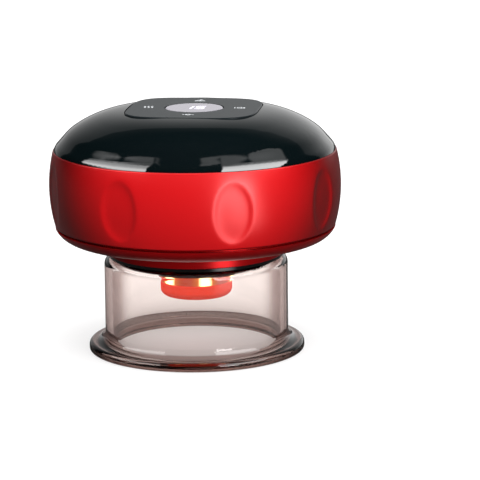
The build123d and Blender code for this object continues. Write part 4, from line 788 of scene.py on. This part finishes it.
def light_panels(sky, across, forward):
    """Two light panels on a ceiling one unit above the object, brighter towards the front."""

    def edge(forward_share, across_share, dark, lit):
        """A soft straight edge between a dark and a lit side."""
        return (forward * forward_share + across * across_share).ramp(dark, lit)

    around = sky.maths("SQRT", across * across + forward * forward)
    left = (edge(1, -0.48, 0.41, 0.44).or_more(edge(1, -1.15, 0.90, 0.96))
            * around.ramp(0.46, 0.43).or_more(edge(1, 1.85, -0.40, -0.48))
            * edge(1, 0, -0.54, -0.42) * edge(0, 1, -0.29, -0.38))
    right = (edge(1, 0.50, 0.32, 0.35).or_more(edge(1, 5.0, 2.75, 2.95))
             * around.ramp(0.38, 0.34).or_more(edge(-1, 2.1, 0.34, 0.42))
             * edge(1, 0.60, 0.03, 0.09) * edge(1, -0.40, -0.83, -0.76) * edge(0, 1, 0.08, 0.12))
    left_glow = edge(1, -0.9, 0.66, 0.92) * 0.30 + edge(1, -0.9, 0.9, 2.3) * 0.5
    right_glow = edge(1, 1.2, 0.66, 1.30) * 0.8 + edge(1, 1.2, 1.2, 2.6) * 0.2
    return left * (left_glow + PANEL_LEAST) + right * (right_glow + PANEL_LEAST)


def add_world(scene):
    """White to the camera; panels and a pale back wall in mirrors; elsewhere soft light from above."""
    world = bpy.data.worlds.new("Studio")
    scene.world = world
    sky = Finish("Studio", world)
    x, y, up = sky.axes(sky.node("ShaderNodeTexCoord", output="Generated"))
    aside = sky.maths("ABSOLUTE", sky.maths("ARCTAN2", x, y * -1))
    lift = sky.maths("ARCSINE", up)
    above = up.or_more(0.05)
    across, forward = sky.maths("DIVIDE", x, above), sky.maths("DIVIDE", y * -1, above)
    panels = light_panels(sky, across, forward) * lift.ramp(0.26, 0.40)
    sink = (1 - lift.or_more(0)).or_more(0)
    back = forward * -1
    beyond = back.ramp(0.97, 1.05) * (back - sky.maths("ABSOLUTE", across) * 0.85).ramp(0.02, 0.14)
    rightwards = (x * 0.9 - y * 0.2 + 0.42).ramp(0.0, 0.5) * 0.8 + 0.62
    wall = aside.ramp(2.18, 2.97) * sink * sink * rightwards + beyond * 0.07
    facing = (x * 0.12 - y * 0.27 + up * 0.95).ramp(0.34, 1.0)
    black, white, bright, ahead = (
        sky.node("ShaderNodeBackground", None, {"Color": WHITE, "Strength": strength})
        for strength in (0.0, SKY_WHITE, SKY_PANELS, SKY_SOFT))
    seen, mirrored = sky.rays()
    mirror = sky.blended(panels, sky.blended(wall, black, white), bright)
    unseen = sky.blended(mirrored, sky.blended(facing, black, ahead), mirror)
    sky.output(sky.blended(seen, unseen, white), "World")


def add_front_light(scene):
    """A soft panel light low in front, on the right."""
    data = bpy.data.lights.new("FrontLight", "AREA")
    data.shape, data.energy = "RECTANGLE", LIGHT_POWER
    data.size, data.size_y = LIGHT_WIDTH, LIGHT_TALL
    lamp = bpy.data.objects.new("FrontLight", data)
    scene.collection.objects.link(lamp)
    out = direction(LIGHT_AZIMUTH, LIGHT_ELEVATION)
    lamp.location = Vector((0, 0, LIGHT_AIM_HEIGHT)) + out * LIGHT_DISTANCE
    lamp.rotation_mode = "QUATERNION"
    lamp.rotation_quaternion = out.to_track_quat("Z", "Y")


def add_camera(scene):
    """The camera, in front and a little above the head."""
    data = bpy.data.cameras.new("Camera")
    data.sensor_width, data.lens = CAMERA_SENSOR, CAMERA_LENS
    data.clip_start, data.clip_end = 0.05, 20
    camera = bpy.data.objects.new("Camera", data)
    scene.collection.objects.link(camera)
    out = direction(CAMERA_AZIMUTH)
    right = Vector((-out.y, out.x, 0))
    camera.location = out * CAMERA_DISTANCE + Vector((0, 0, CAMERA_HEIGHT))
    target = right * CAMERA_AIM_RIGHT + Vector((0, 0, CAMERA_AIM_HEIGHT))
    camera.rotation_mode = "QUATERNION"
    look = (camera.location - target).to_track_quat("Z", "Y")
    roll = Matrix.Rotation(math.radians(CAMERA_ROLL), 3, "Z").to_quaternion()
    camera.rotation_quaternion = look @ roll
    scene.camera = camera


class MASSAGER_OT_stage(Operator):
    """Adds the pale floor, the soft lights and the camera"""
    bl_idname = "massager.stage"
    bl_label = "Floor, Lights and Camera"

    def execute(self, context):
        for add in (add_floor, add_world, add_front_light, add_camera):
            add(context.scene)
        context.scene.view_settings.view_transform = "Standard"
        return {"FINISHED"}


class MASSAGER_PT_sidebar(Panel):
    """Lists the pieces and their properties"""
    bl_label = "Cupping Massager"
    bl_idname = "MASSAGER_PT_sidebar"
    bl_space_type = "VIEW_3D"
    bl_region_type = "UI"
    bl_category = "Massager"

    def draw(self, context):
        column = self.layout.column()
        for operator in OPERATORS:
            column.operator(operator.bl_idname)
        for group in (context.scene.massager_sizes, context.scene.massager_colours):
            for name in type(group).__annotations__:
                column.prop(group, name)


OPERATORS = (MASSAGER_OT_grip_band, MASSAGER_OT_bottom_cover, MASSAGER_OT_top_cover, MASSAGER_OT_panel,
             MASSAGER_OT_cup, MASSAGER_OT_lamp_module, MASSAGER_OT_boards, MASSAGER_OT_battery,
             MASSAGER_OT_pump, MASSAGER_OT_air_line, MASSAGER_OT_fasteners, MASSAGER_OT_stage)
CLASSES = (MassagerSizes, MassagerColours, *OPERATORS, MASSAGER_PT_sidebar)


def register():
    for made in CLASSES:
        bpy.utils.register_class(made)
    bpy.types.Scene.massager_sizes = PointerProperty(type=MassagerSizes)
    bpy.types.Scene.massager_colours = PointerProperty(type=MassagerColours)


def unregister():
    del bpy.types.Scene.massager_colours
    del bpy.types.Scene.massager_sizes
    for made in reversed(CLASSES):
        bpy.utils.unregister_class(made)


def main():
    """Runs every operator."""
    register()
    for operator in OPERATORS:
        group, name = operator.bl_idname.split(".")
        getattr(getattr(bpy.ops, group), name)()


if __name__ == "__main__":
    main()
